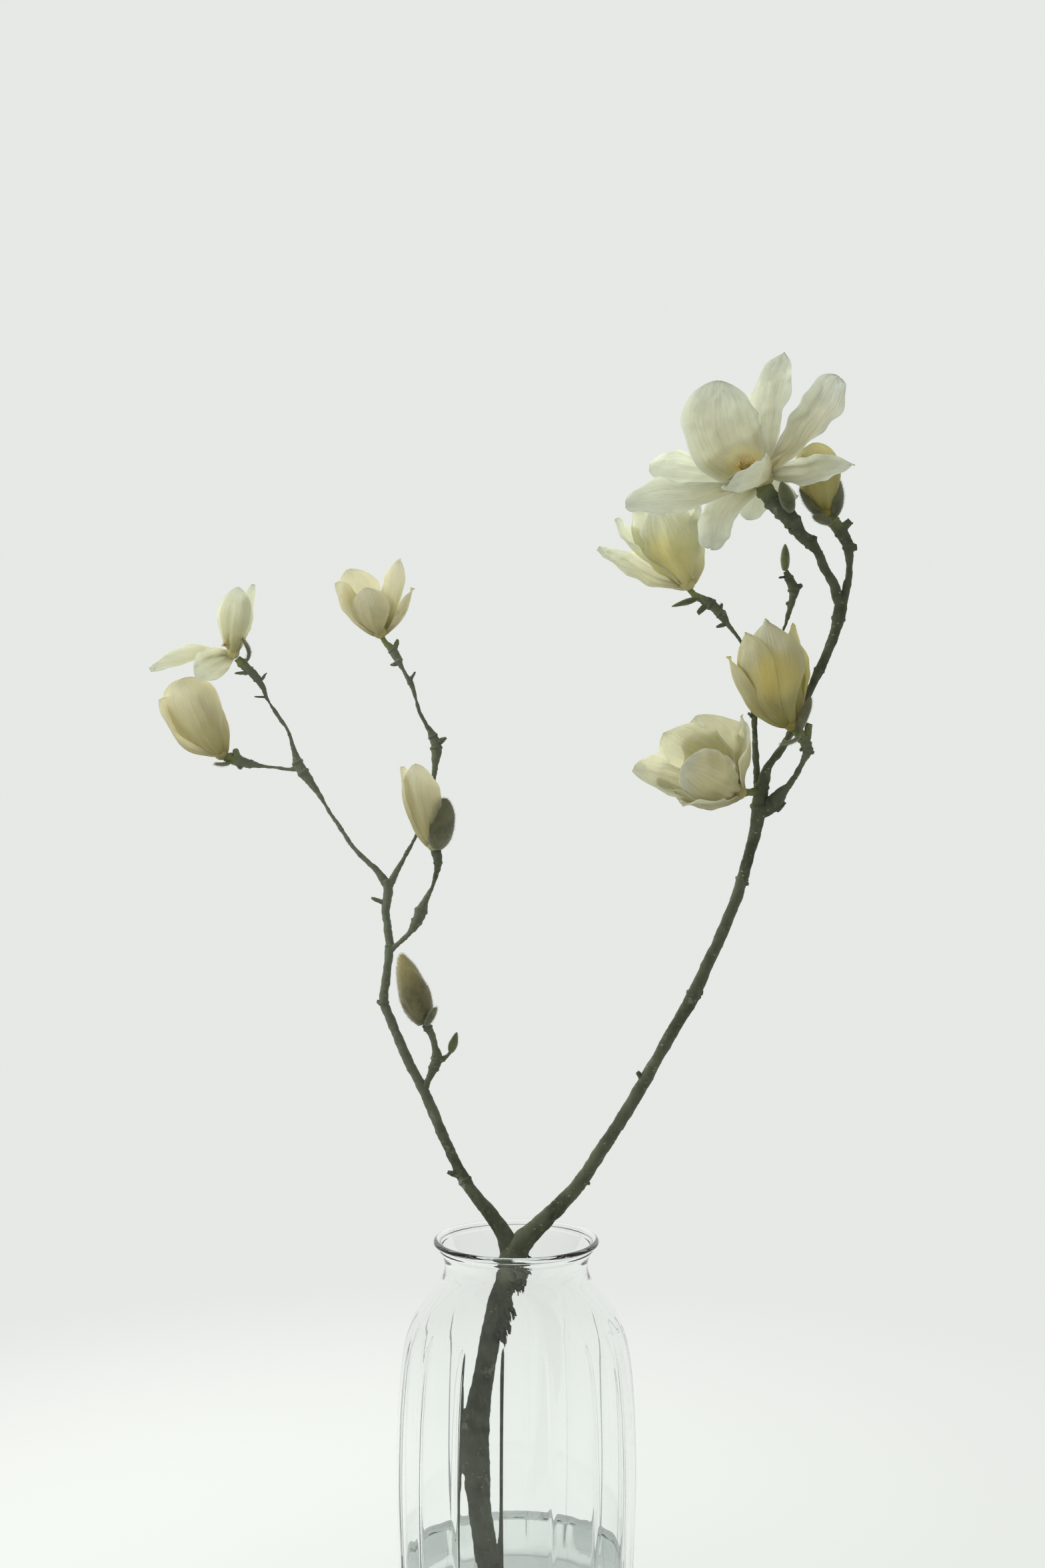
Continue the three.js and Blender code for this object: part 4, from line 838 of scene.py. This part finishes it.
blooms = {
    "bloom_1": {
        "heart": (130, 639, -2), "core": (7.5, 5.5, 6.5), "tint": "ivory",
        "stainAndShade": {"at": (121.5, 647.5, -1), "reach": (0, 15), "depth": 1},
        "tepals": [
            tepal((107.5, 690, -5), (0.1, -0.98, 0.1), 43, 7, 0.4, root=(125.5, 641, 0), sway=-6.5,
                  wide=0.58, blunt=0.5, claw=0.4, wrinkle=3.6, rim=0.12, crumple=6.5, pucker=1.1,
                  frill=1.2, lap=0.3, dense=0.3),
            tepal((139.4, 705, 8), (0.15, -0.97, 0), 21, 4, 0.5, root=(135, 642, 0.5), sway=-2.5,
                  wide=0.68, blunt=0.68, nib=1, rim=0.35, hook=3.5, fullRelief=18, crumple=5,
                  wrinkle=2),
            tepal((173.5, 691, -10), (-0.45, -0.8, 0.3), 22, 4, 0.6, root=(134.5, 642.5, -3),
                  wide=0.72, blunt=0.24, notch=3, frill=5, curl=-2, rim=0.4, fullRelief=18,
                  crumple=4.5, wrinkle=2, dense=0.45),
            tepal((180, 645.5, -16), (0.07, -0.88, 0.48), 20, 3, 0.5, root=(134.5, 640, -4),
                  wide=0.54, blunt=0.7, nib=0.5, rim=0.4, frill=5, dense=-0.4),
            tepal((71, 644, 7), (-0.1, -0.85, 0.5), 21, 3, 0.5, root=(125.5, 641, 1.5), wide=0.66,
                  blunt=0.5, rim=0.4, dense=-0.5),
            tepal((58.5, 625.5, -14), (0.1, -0.72, 0.68), 22, 2, 0.6, root=(125, 637.5, -4),
                  sway=-4, wide=0.7, blunt=0.4, rim=0.3, frill=5.5, curl=2),
            tepal((112, 634, -28), (-0.3, 0.5, 0.81), 27, 5, 1, root=(135.5, 643.5, -4), wide=0.55,
                  blunt=0.45, claw=0.5, rim=0.16),
            tepal((103.5, 600.5, -9), (-0.05, -0.97, 0.2), 18, 2, 0.5, root=(124, 637, -1.5),
                  sway=5, wide=0.62, blunt=0.25, claw=0.65, notch=1.5, frill=4, rim=0.3),
            tepal((124, 616, 13), (0, -0.8, 0.6), 18, 3, 0.5, root=(128, 636, 1), wide=0.6),
            tepal((150, 629, 12), (0.3, -0.85, 0.4), 16, 3, 0.5, root=(133.5, 638.5, 1), wide=0.6,
                  blunt=0.55),
        ],
    },
    "bloom_2": {
        "heart": (165.6, 620.9, 12.2), "core": (4.4, 4.4, 4), "tint": "cream",
        "tepals": [
            tepal((157, 656.5, 6.5), (0.05, 1, 0.1), 27, 7, 0.9),
            tepal((152, 651, 12), (0.9, 0.05, 0.3), 24, 6, 0.8),
            tepal((166, 653, 12.4), (-0.9, 0.1, 0.2), 20, 5, 0.8),
            tepal((159.5, 655, 20), (-0.05, -1, 0.1), 23, 6.5, 0.9),
        ],
        "habit": {"rim": 0.06, "frill": 0.6, "crumple": 1.2, "wrinkle": 0.3, "pleat": 1,
                  "blunt": 0.38, "wide": 0.66},
    },
    "bloom_3": {
        "heart": (91.4, 582.4, 50), "core": (4.4, 4.4, 4.2), "tint": "pearl",
        "stainAndShade": {"at": (79, 593, 38), "reach": (4, 26), "depth": 0.55},
        "tepals": [
            tepal((43.5, 601, 44), (0.3, -0.55, 0.75), 24, 4, 0.6, wide=0.5, blunt=0.95),
            tepal((53.5, 617, 44), (0.7, -0.35, 0.6), 28, 4, 0.8, flare=2),
            tepal((76, 626, 40), (0, 1, 0.1), 36, 9, 0.9, dense=0.1),
            tepal((97, 624, 48), (-0.95, 0.1, 0.2), 26, 5, 0.8),
            tepal((80, 629, 60), (0, -1, 0.1), 38, 8, 0.9),
            tepal((64, 625, 56), (0.6, -0.75, 0.1), 28, 7, 0.8),
        ],
    },
    "bloom_4": {
        "heart": (147.6, 507.8, -12), "core": (4.8, 4.6, 4.4), "tint": "cream",
        "stainAndShade": {"at": (140, 533, -27), "reach": (3, 20), "depth": 0.55},
        "tepals": [
            tepal((133.5, 563, -20), (0.1, 0.98, 0.1), 38, 10, 0.9, sway=2, blunt=0.95, nib=1.5,
                  curl=-2, dense=0.45),
            tepal((148, 560, -15), (-0.85, 0.45, 0.15), 27, 3.5, 0.8, blunt=1, nib=1.5),
            tepal((122.5, 556, -16), (0.7, 0.6, 0.35), 32, 12, 0.8),
            tepal((113.5, 543.5, -10), (0.7, 0.25, 0.6), 25, 9, 0.7, blunt=0.75),
            tepal((138, 557, 2), (0, -1, 0.1), 34, 8, 0.9),
            tepal((148, 553, -4), (-0.75, -0.6, 0.1), 25, 3.5, 0.8),
            tepal((125, 552, -4), (0.7, -0.65, 0.2), 28, 7, 0.8),
        ],
        "habit": {"rim": 0.05, "frill": 0.6, "crumple": 1.6, "pleat": 0.7, "pucker": 0.15,
                  "wrinkle": 0.4},
    },
    "bloom_5": {
        "heart": (119, 471, -2.5), "core": (4.6, 4.6, 4.4), "tint": "shaded",
        # painted shade: the front tepal darker and yellower where the tepals overlap
        "stainAndShade": {"at": (104, 482, -25), "reach": (8, 20), "depth": 0.25},
        "tepals": [
            tepal((90, 486, -32), (0.2, 0.95, -0.1), 31, 7, 0.7, blunt=0.5, dense=0.5),
            tepal((80, 503, -8), (0.3, -0.6, -0.7), 38, 10, 0.7, blunt=0.5),
            tepal((120.5, 512, -6), (-0.9, -0.1, -0.2), 24, 2, 0.7, flare=2),
            tepal((63, 484, -26), (0.1, -0.7, 0.7), 26, 5, 0.7),
            tepal((75, 476, -18), (0.1, -0.2, 0.97), 30, 8, 0.8),
            tepal((89, 464, -28), (0.1, 0.3, 0.95), 22, 3, 0.6, blunt=0.5),
            tepal((97, 512, 2), (-0.1, -0.98, 0.1), 38, 5, 0.7, wide=0.66, blunt=0.62, rim=0.35,
                  frill=4),
        ],
    },
    "bloom_6": {
        "heart": (-72.8, 556.4, 95), "core": (4, 4, 3.8), "tint": "straw",
        "tepals": [
            tepal((-96, 583, 90), (0.6, -0.4, 0.6), 23, 5, 0.7),
            tepal((-89.5, 590, 101), (0.35, -0.93, 0.1), 28, 6, 0.7),
            tepal((-62, 595.5, 94), (-0.62, -0.75, 0.1), 19, 2.5, 0.7, blunt=0.6),
            tepal((-81, 580, 82), (0.1, 0.95, 0.2), 24, 6, 0.7),
            tepal((-55, 580, 96), (-0.6, -0.5, 0.6), 15, 3, 0.6, blunt=0.8),
            tepal((-74, 578, 107), (-0.1, -0.95, 0.1), 24, 5, 0.7),
        ],
        "habit": {"rim": 0.1, "frill": 1.2, "crumple": 1.4, "pleat": 0.8, "pucker": 0.2,
                  "wrinkle": 0.3},
    },
    "bloom_7": {
        "heart": (-151.6, 545.4, 97), "core": (4, 4, 3.8), "tint": "pearl",
        "tepals": [
            tepal((-148.5, 580.5, 89), (0.1, 0.98, 0), 20, 3, 0.7),
            tepal((-140.5, 582, 97), (-0.9, 0.3, 0), 17, 2, 0.7, blunt=0.8),
            tepal((-196, 536.5, 95), (0.1, -0.6, 0.8), 17, -5, 0.6, blunt=0.8),
            tepal((-172, 533.5, 84), (0.2, -0.9, 0.3), 19, -2, 0.5),
            tepal((-151.5, 578, 108), (0.35, -0.93, 0.1), 18, 4, 0.7),
            tepal((-145, 572, 111), (-0.5, -0.85, 0.1), 16, 3, 0.7),
        ],
        "habit": {"rim": 0.14, "frill": 1.8},
    },
    "bloom_8": {
        "heart": (-158, 491.6, 104), "core": (4.2, 4.2, 4), "tint": "straw",
        "tepals": [
            tepal((-180, 531, 96), (0.1, 1, 0.1), 36, 8, 0.9),
            tepal((-190, 521, 102), (0.8, -0.3, 0.4), 30, 9, 0.8),
            tepal((-170, 531, 104), (-0.9, 0.2, -0.1), 27, 6, 0.8),
            tepal((-183, 530, 112), (0.1, -1, 0.1), 37, 7, 0.9),
        ],
        "habit": {"rim": 0.08, "frill": 1, "wide": 0.68, "blunt": 0.45, "crumple": 1.8,
                  "pleat": 1, "pucker": 0.2, "wrinkle": 0.3},
    },
    "bloom_9": {
        "heart": (-44, 442.6, 52), "core": (4, 4, 3.8), "tint": "straw",
        "tepals": [
            tepal((-61.5, 484.5, 50), (0.85, -0.1, 0.4), 22, 5, 0.8),
            tepal((-54.5, 486, 44), (0.1, 1, 0.1), 23, 6, 0.8),
            tepal((-46, 479, 54), (-0.8, 0, 0.2), 20, 4, 0.8),
            tepal((-54, 484, 60), (0, -1, 0.1), 23, 6, 0.8),
        ],
        "habit": {"rim": 0.08, "frill": 0.8, "crumple": 1.2, "pleat": 0.8, "pucker": 0.2,
                  "wrinkle": 0.3},
        "woodyFoot": True,
    },
}
tepalForm = {
    "bow": 5, "sway": 0, "flare": 0, "cup": 0.7, "wide": 0.62, "blunt": 0.6, "claw": 0.18,
    "wave": 0.6, "lap": 1.4, "rootSpread": 3.2,
    "cells": (18, 32), "thickness": 0.5, "rim": 0.26, "frill": 3.2, "rib": 0.6,
    "crumple": 3.2, "pleat": 2.2, "pucker": 0.5, "wrinkle": 1.1, "nib": 0, "curl": 0, "notch": 0,
    "hook": 0, "fullRelief": 28, "dense": 0,
}

# How the tepals' relief is spread: sizes in mm on the sheet, or steps for its whole length.
relief = {
    "archPeak": 0.76, "rollAtRoot": 1.25, "rollLost": 0.6, "leastShare": 0.08, "nearly": 0.01,
    "ripples": 1.3, "rippleShift": 1.7, "edgeStep": 6, "frillStep": 4.5, "frillFrom": (0.15, 0.6),
    "ribWidth": 0.13, "pleatSize": 3.2, "pleatStep": 1.6, "endFrom": 0.66, "softEnd": (0.84, 1),
    "nibWidth": 0.45, "notchAt": 0.2, "notchWidth": 0.22, "crumpleSize": 11, "puckerSize": 3.2,
    "creaseSize": 9, "creaseSharp": 5, "creasePlace": (0, 0, 40), "roughFrom": (0.05, 0.35),
    "gathered": 1.25,
}

makeWood()
print("wood ready")


def bell(value, width):
    return math.exp(-(value / width) ** 2)


def tepalSurface(shape, root, order):
    # A function from reach (0 root, 1 tip) and side (-1 to 1) to a place in millimetres.
    chord = seen(*shape["tip"]) / mm - root
    ahead = chord.normalized()
    inner = Vector(shape["face"])
    inner = (inner - ahead * inner.dot(ahead)).normalized()
    side = ahead.cross(inner)
    widest = math.log(0.5) / math.log(shape["wide"])
    fullSoft = min(1, shape["width"] / shape["fullRelief"])

    def midrib(s):
        arch = math.sin(math.pi * max(s, 0) ** relief["archPeak"])
        return (root + chord * s - inner * (shape["bow"] * arch)
                + inner * (shape["flare"] * math.sin(fullTurn * s))
                + side * (shape["sway"] * math.sin(math.pi * s)))

    def halfWidth(s, t, edgeSide):
        full = math.sin(math.pi * s ** widest) ** shape["blunt"] if s < 1 else 0
        share = max(shape["claw"] * (1 - s) ** 2 + full, relief["leastShare"])
        edge = noise.noise(Vector((s * relief["edgeStep"], 7.3 * order, edgeSide)))
        return shape["width"] / 2 * min(share, 1) * (1 + shape["rim"] * edge * abs(t) ** 3)

    def liftAt(s, t, half, soft, edgeSide):
        ripple = math.sin(fullTurn * relief["ripples"] * s + order + relief["rippleShift"] * (t > 0))
        lift = (shape["lap"] * t + shape["wave"] * ripple * t * t) * s
        frill = noise.noise(Vector((s * relief["frillStep"], 11.7 * order + 5, edgeSide)))
        frill *= 2 * abs(t) ** 3 * smoothStep(*relief["frillFrom"], s)
        lift += soft * shape["frill"] * frill
        lift -= shape["rib"] * bell(t, relief["ribWidth"]) * (1 - s) ** 0.5
        across = half * t / relief["pleatSize"]
        pleat = noise.noise(Vector((across, s * relief["pleatStep"], 9.1 * order)))
        return lift + soft * shape["pleat"] * pleat * (1 - 0.5 * s)

    def roughAt(place, t):
        rough = noise.noise(place / relief["crumpleSize"]) * shape["crumple"]
        rough += noise.noise(place / relief["puckerSize"]) * shape["pucker"]
        crease = noise.noise(place / relief["creaseSize"] + Vector(relief["creasePlace"]))
        ridge = 1 - min(1, relief["creaseSharp"] * abs(crease))
        return (rough - shape["wrinkle"] * ridge * ridge) * (1 - 0.6 * t * t)

    def point(reach, t):
        s = min(max(reach, 0), 1)
        near = relief["nearly"]
        tangent = (midrib(reach + near) - midrib(reach - near)).normalized()
        up = (inner - tangent * inner.dot(tangent)).normalized()
        out = tangent.cross(up)
        soft = fullSoft * (1 - 0.9 * smoothStep(*relief["softEnd"], s))
        edgeSide = math.copysign(3, t)
        half = halfWidth(s, t, edgeSide)
        end = smoothStep(relief["endFrom"], 1, s)
        lift = liftAt(s, t, half, soft, edgeSide) - shape["curl"] * end * end
        roll = shape["cup"] * (relief["rollAtRoot"] - relief["rollLost"] * s)
        place = midrib(reach) + out * (half * math.sin(roll * t) / roll)
        place += up * (half * (1 - math.cos(roll * t)) / roll + lift)
        notch = shape["notch"] * bell(t - relief["notchAt"], relief["notchWidth"])
        place += ahead * end * (shape["nib"] * bell(t, relief["nibWidth"]) - notch)
        place += out * (shape["hook"] * end * end)
        return place + up * (soft * roughAt(place, t) * smoothStep(*relief["roughFrom"], s))

    return point


def tepalSheet(own, heart, order, form):
    shape = {**form, **own}
    if "root" in own:
        root = seen(*own["root"]) / mm
    else:
        root = seen(*heart) / mm - Vector(shape["face"]).normalized() * shape["rootSpread"]
    point = tepalSurface(shape, root, order)
    across, lengthwise = shape["cells"]
    bpy.ops.mesh.primitive_grid_add(x_subdivisions=across, y_subdivisions=lengthwise, size=1)
    sheet = bpy.context.object
    for vertex in sheet.data.vertices:
        reach = math.sin(math.pi / 2 * (vertex.co.y + 0.5)) ** relief["gathered"]
        vertex.co = point(reach, 2 * vertex.co.x) * mm
    sheet.data.update()
    applied(sheet, "SOLIDIFY", thickness=shape["thickness"] * mm, offset=0)
    applied(sheet, "SUBSURF", levels=1, render_levels=1)
    mark(sheet, "dense", [shape["dense"]] * len(sheet.data.vertices))
    return sheet


def receptacle(heart, core):
    bpy.ops.mesh.primitive_uv_sphere_add(segments=24, ring_count=14, radius=1)
    ball = bpy.context.object
    for loop in ball.data.uv_layers[0].data:
        loop.uv.y *= 0.1  # its colour is that of the tepals' foot
    for vertex in ball.data.vertices:
        vertex.co = seen(*heart) + Vector(a * b for a, b in zip(vertex.co, core)) * mm
    mark(ball, "dense", [0] * len(ball.data.vertices))
    return ball


def markStainAndShade(piece, stainAndShade):
    # The golden mark where the broad petal meets the heart. On bloom 5 this mark is painted shade: it
    # darkens and yellows the front tepal where the tepals overlap.
    middle = seen(*stainAndShade["at"])
    away = [(vertex.co - middle).length / mm for vertex in piece.data.vertices]
    mark(piece, "stainAndShade", [stainAndShade["depth"] * (1 - smoothStep(*stainAndShade["reach"], far)) for far in away])


def makeBloom(name, bloom):
    sheets = [receptacle(bloom["heart"], bloom["core"])]
    form = {**tepalForm, **bloom.get("habit", {})}
    for order, own in enumerate(bloom["tepals"]):
        sheets.append(tepalSheet(own, bloom["heart"], order, form))
    piece = joinAll(sheets, f"{name}_petals")
    if "stainAndShade" in bloom:
        markStainAndShade(piece, bloom["stainAndShade"])
    smooth(piece)
    wears(piece, tepalCoats[bloom["tint"]])
    standFor(piece, "tepal", f"{name}_tepals")


for bloomName, bloom in blooms.items():
    makeBloom(bloomName, bloom)
print("blooms ready")

# ---- hearts: stamens round a cone of carpels

hearts = {
    "bloom_1": {"toward": (-0.78, -0.48, 0.4), "start": 5, "length": 11.5, "radius": 3,
                "stamens": 44, "carpels": 60},
    "bloom_6": {"toward": (-0.15, -0.1, 0.98), "start": 4.2, "length": 10, "radius": 2.2,
                "stamens": 26, "carpels": 36},
    "bloom_7": {"toward": (-0.3, -0.3, 0.9), "start": 3.6, "length": 9, "radius": 2,
                "stamens": 26, "carpels": 36},
}
# Shares of the heart's radius, or of its length for the column and what goes up it. A pair
# is where it starts and how much it changes.
heartForm = {
    "turn": 2.4, "column": {"length": 0.92, "top": 0.25},
    "stamen": {"length": 2, "thick": 0.42, "thin": 0.3, "lean": (0.55, 0.75), "out": 0.55,
               "up": (0.15, 0.7), "size": (0.8, 0.25)},
    "carpel": {"length": 0.62, "thick": 0.5, "thin": 0.12, "lean": (0.9, 0.8), "out": (0.68, -0.5),
               "up": (0.3, 0.62), "size": (1.1, -0.35)},
}


def tapered(length, thick, thin, sides):
    bpy.ops.mesh.primitive_cone_add(vertices=sides, radius1=thick * mm, radius2=thin * mm,
                                    depth=length * mm)
    cone = bpy.context.object
    cone.data.transform(Matrix.Translation((0, 0, length / 2 * mm)))
    return cone


def changed(pair, share):
    return pair[0] + pair[1] * share


def makeHeart(name, heart):
    draw = random.Random(name)
    axis = Vector(heart["toward"]).normalized()
    base = seen(*blooms[name]["heart"]) / mm + axis * heart["start"]
    length, radius = heart["length"], heart["radius"]
    sideways = Vector((0, 0, 1)).cross(axis).normalized()
    core, stamen, carpel = heartForm["column"], heartForm["stamen"], heartForm["carpel"]
    column = tapered(length * core["length"], radius, radius * core["top"], 20)
    spike = tapered(radius * stamen["length"], stamen["thick"], stamen["thin"], 6)
    beak = tapered(radius * carpel["length"], carpel["thick"], carpel["thin"], 6)
    pieces = [placed(column, base * mm, axis, (1, 1, 1))]
    for count in range(heart["stamens"]):
        around = Matrix.Rotation(count * heartForm["turn"], 3, axis) @ sideways
        lean = changed(stamen["lean"], draw.random())
        direction = axis * math.cos(lean) + around * math.sin(lean)
        up = changed(stamen["up"], draw.random())
        foot = base + around * radius * stamen["out"] + axis * radius * up
        size = changed(stamen["size"], draw.random())
        pieces.append(placed(spike, foot * mm, direction, (size, size, size)))
    for count in range(heart["carpels"]):
        rise = (count + 0.5) / heart["carpels"]
        around = Matrix.Rotation(count * heartForm["turn"], 3, axis) @ sideways
        foot = base + axis * length * changed(carpel["up"], rise)
        foot += around * radius * changed(carpel["out"], rise)
        direction = axis * carpel["lean"][0] + around * carpel["lean"][1]
        size = changed(carpel["size"], rise)
        pieces.append(placed(beak, foot * mm, direction, (size, size, size)))
    for pattern in (column, spike, beak):
        bpy.data.objects.remove(pattern)
    piece = joinAll(pieces, f"{name}_stamens")
    smooth(piece)
    wears(piece, heartCoat)
    standFor(piece, "heart", f"{name}_heart")


for heartName, heart in hearts.items():
    makeHeart(heartName, heart)
print("hearts ready")

# ---- bud scales and closed buds, with their hairs

scales = {
    "bloom_2": [
        dict(root=(164, 617.4, 8), tip=(151.4, 632.6, 9), face=(0.9, 0.5, 0.3), width=6.5, bow=3),
        dict(root=(170, 617.4, 10), tip=(171.6, 638, 8), face=(-0.6, 0.8, 0), width=9, bow=3),
        dict(root=(168, 614, 7.5), tip=(158.6, 618.6, 3), face=(-0.1, 0.5, 0.85), width=7, bow=1),
    ],
    "bloom_4": [
        dict(root=(151, 503, -15.3), tip=(157.6, 521.4, -19), face=(-0.4, 0.9, 0), width=6, bow=1),
        dict(root=(152, 500.6, -16), tip=(141.4, 496.4, -22), face=(0.1, 0.3, 0.95), width=6.5,
             bow=1.5),
    ],
    "bloom_7": [dict(root=(-144, 540.6, 94), tip=(-146.6, 553.4, 92), face=(-1, 0, 0.2), width=6,
                     bow=3)],
    "bloom_8": [dict(root=(-153, 486.4, 101), tip=(-161.6, 486, 97), face=(0.1, 0, 1), width=6,
                     bow=1)],
    "bloom_9": [dict(root=(-41.6, 439.6, 49.4), tip=(-38.5, 467.5, 44), face=(-0.5, 0.85, 0.1),
                     width=18, bow=4, rim=0.2, blunt=0.5)],
}
scaleForm = {**tepalForm, "cup": 0.9, "wide": 0.55, "claw": 0.5, "wave": 0, "lap": 0,
             "thickness": 0.9, "cells": (8, 14), "frill": 0.1, "crumple": 0.2, "rib": 0,
             "pleat": 0, "rim": 0.03, "wrinkle": 0}
scaleHairs = {"perSquare": 5, "length": 1.7, "thick": 0.045}
leafBuds = {
    "leaf_bud_middle": {"base": (143.6, 589, 36), "tip": (143.6, 603.5, 36), "radius": 2.6},
    "leaf_bud_bloom_1": {"base": (146.6, 620.6, -5.6), "tip": (141.4, 636.6, -14), "radius": 4},
    "leaf_bud_bloom_3": {"base": (97.6, 574.6, 46.8), "tip": (83, 570, 45), "radius": 1.7},
    "leaf_bud_left": {"base": (-35.4, 330.4, 44), "tip": (-31.9, 341.6, 44), "radius": 2.4},
}
leafBudHairs = {"perSquare": 4, "length": 0.7, "thick": 0.03}
fuzzyBud = {"base": (-49.4, 345.8, 40), "tip": (-62, 384, 43), "radius": 8.3}
fuzzyBudHairs = {"perSquare": 3.2, "length": 1.7, "thick": 0.045}
fuzzyBudScale = dict(root=(-48.2, 345, 37.4), tip=(-43.4, 355, 32.5), face=(-0.7, 0.6, 0.2),
                     width=7, bow=1)
budShares = [(0.28, 0.0), (0.5, 0.02), (0.86, 0.16), (1, 0.36), (0.93, 0.56), (0.66, 0.78),
             (0.26, 0.95), (0.08, 0.99)]
budForm = {"smoothing": 4, "sides": 48, "ridges": 2, "twist": 0.9, "ridgeFrom": (0.02, 0.25),
           "leafRidges": 0.14, "fuzzyRidges": 0.10, "knobs": 0.05, "knobSize": 4}
hairLie = {"out": 0.45, "over": 0.9, "spread": 0.28, "reach": 0.9, "sunk": 0.1,
           "lengths": (0.6, 0.6)}


def addHairs(piece, hairs, toward, coats, seed):
    # Fine three-sided spikes that lie over towards the tip.
    draw = random.Random(seed)
    corners, faces = [], []
    for polygon in piece.data.polygons:
        wanted = polygon.area / mm ** 2 * hairs["perSquare"]
        points = [piece.data.vertices[index].co for index in polygon.vertices]
        for count in range(int(wanted) + (draw.random() < wanted % 1)):
            foot = polygon.center.lerp(draw.choice(points), draw.random() * hairLie["reach"])
            lie = polygon.normal * hairLie["out"] + toward * hairLie["over"]
            lie += Vector(draw.gauss(0, hairLie["spread"]) for axis in range(3))
            lie.normalize()
            length = hairs["length"] * changed(hairLie["lengths"], draw.random()) * mm
            first = lie.orthogonal().normalized() * hairs["thick"] * mm
            start = len(corners)
            sunk = foot - polygon.normal * hairLie["sunk"] * mm
            for third in range(3):
                corners.append(sunk + Matrix.Rotation(third * fullTurn / 3, 3, lie) @ first)
            corners.append(foot + lie * length)
            a, b, c, d = range(start, start + 4)
            faces += [(a, b, d), (b, c, d), (c, a, d), (c, b, a)]
    tuft = fromCorners("hairs", corners, [], faces)
    wears(piece, *coats)
    wears(tuft, *coats)
    for polygon in tuft.data.polygons:
        polygon.material_index = 1
    return joinAll([piece, tuft], piece.name)


def finishWoolly(piece, ends, hairs, coats, seed, slot, node):
    # Adds the hairs, and marks how far up the piece each point is.
    foot, tip = (seen(*end) for end in ends)
    toward = (tip - foot).normalized()
    piece = addHairs(piece, hairs, toward, coats, seed)
    heights = [(vertex.co - foot).dot(toward) for vertex in piece.data.vertices]
    top = max(heights)
    mark(piece, "risen", [max(0, height / top) for height in heights])
    standFor(piece, slot, node)


def makeScale(name, node, scale, order):
    piece = tepalSheet(scale, None, order, scaleForm)
    piece.name = name
    smooth(piece)
    ends = (scale["root"], scale["tip"])
    finishWoolly(piece, ends, scaleHairs, (scaleCoat, silverHair), name, "bud_scale", node)


def budShell(name, bud, ridgeDepth):
    base, tip = seen(*bud["base"]), seen(*bud["tip"])
    length = (tip - base).length / mm
    outline = [(share * bud["radius"], rise * length)
               for share, rise in rounded(budShares, budForm["smoothing"])]
    piece = turnedShell(name, outline, budForm["sides"])
    for vertex in piece.data.vertices:
        angle = math.atan2(vertex.co.y, vertex.co.x)
        rise = vertex.co.z / mm / length
        lapped = (angle * budForm["ridges"] / fullTurn + budForm["twist"] * rise) % 1
        swell = 1 + ridgeDepth * (lapped - 0.5) * smoothStep(*budForm["ridgeFrom"], rise)
        swell += budForm["knobs"] * noise.noise(vertex.co / mm / budForm["knobSize"])
        vertex.co.x *= swell
        vertex.co.y *= swell
    piece.data.transform(Matrix.Translation(base) @ aimed(tip - base))
    applied(piece, "SUBSURF", levels=1, render_levels=1)
    smooth(piece)
    return piece


for bloomName, group in scales.items():
    for order, scale in enumerate(group):
        number = order + 1
        makeScale(f"{bloomName}_fuzzyScale_{number}", f"{bloomName}_scale_{number}", scale, order)
for budName, bud in leafBuds.items():
    shell = budShell(f"{budName}_shell", bud, budForm["leafRidges"])
    ends = (bud["base"], bud["tip"])
    finishWoolly(shell, ends, leafBudHairs, (leafBudCoat, silverHair), budName, "leaf_bud", budName)
shell = budShell("bloom_10_fuzzyBud", fuzzyBud, budForm["fuzzyRidges"])
ends = (fuzzyBud["base"], fuzzyBud["tip"])
finishWoolly(shell, ends, fuzzyBudHairs, (budCoat, goldHair), "bloom_10", "bud_scale",
             "bloom_10_bud")
makeScale("bloom_10_fuzzyScale", "bloom_10_scale", fuzzyBudScale, 0)
print("scales and buds ready")

# ---- the end

bpy.ops.object.select_all(action="DESELECT")
print("all pieces ready")
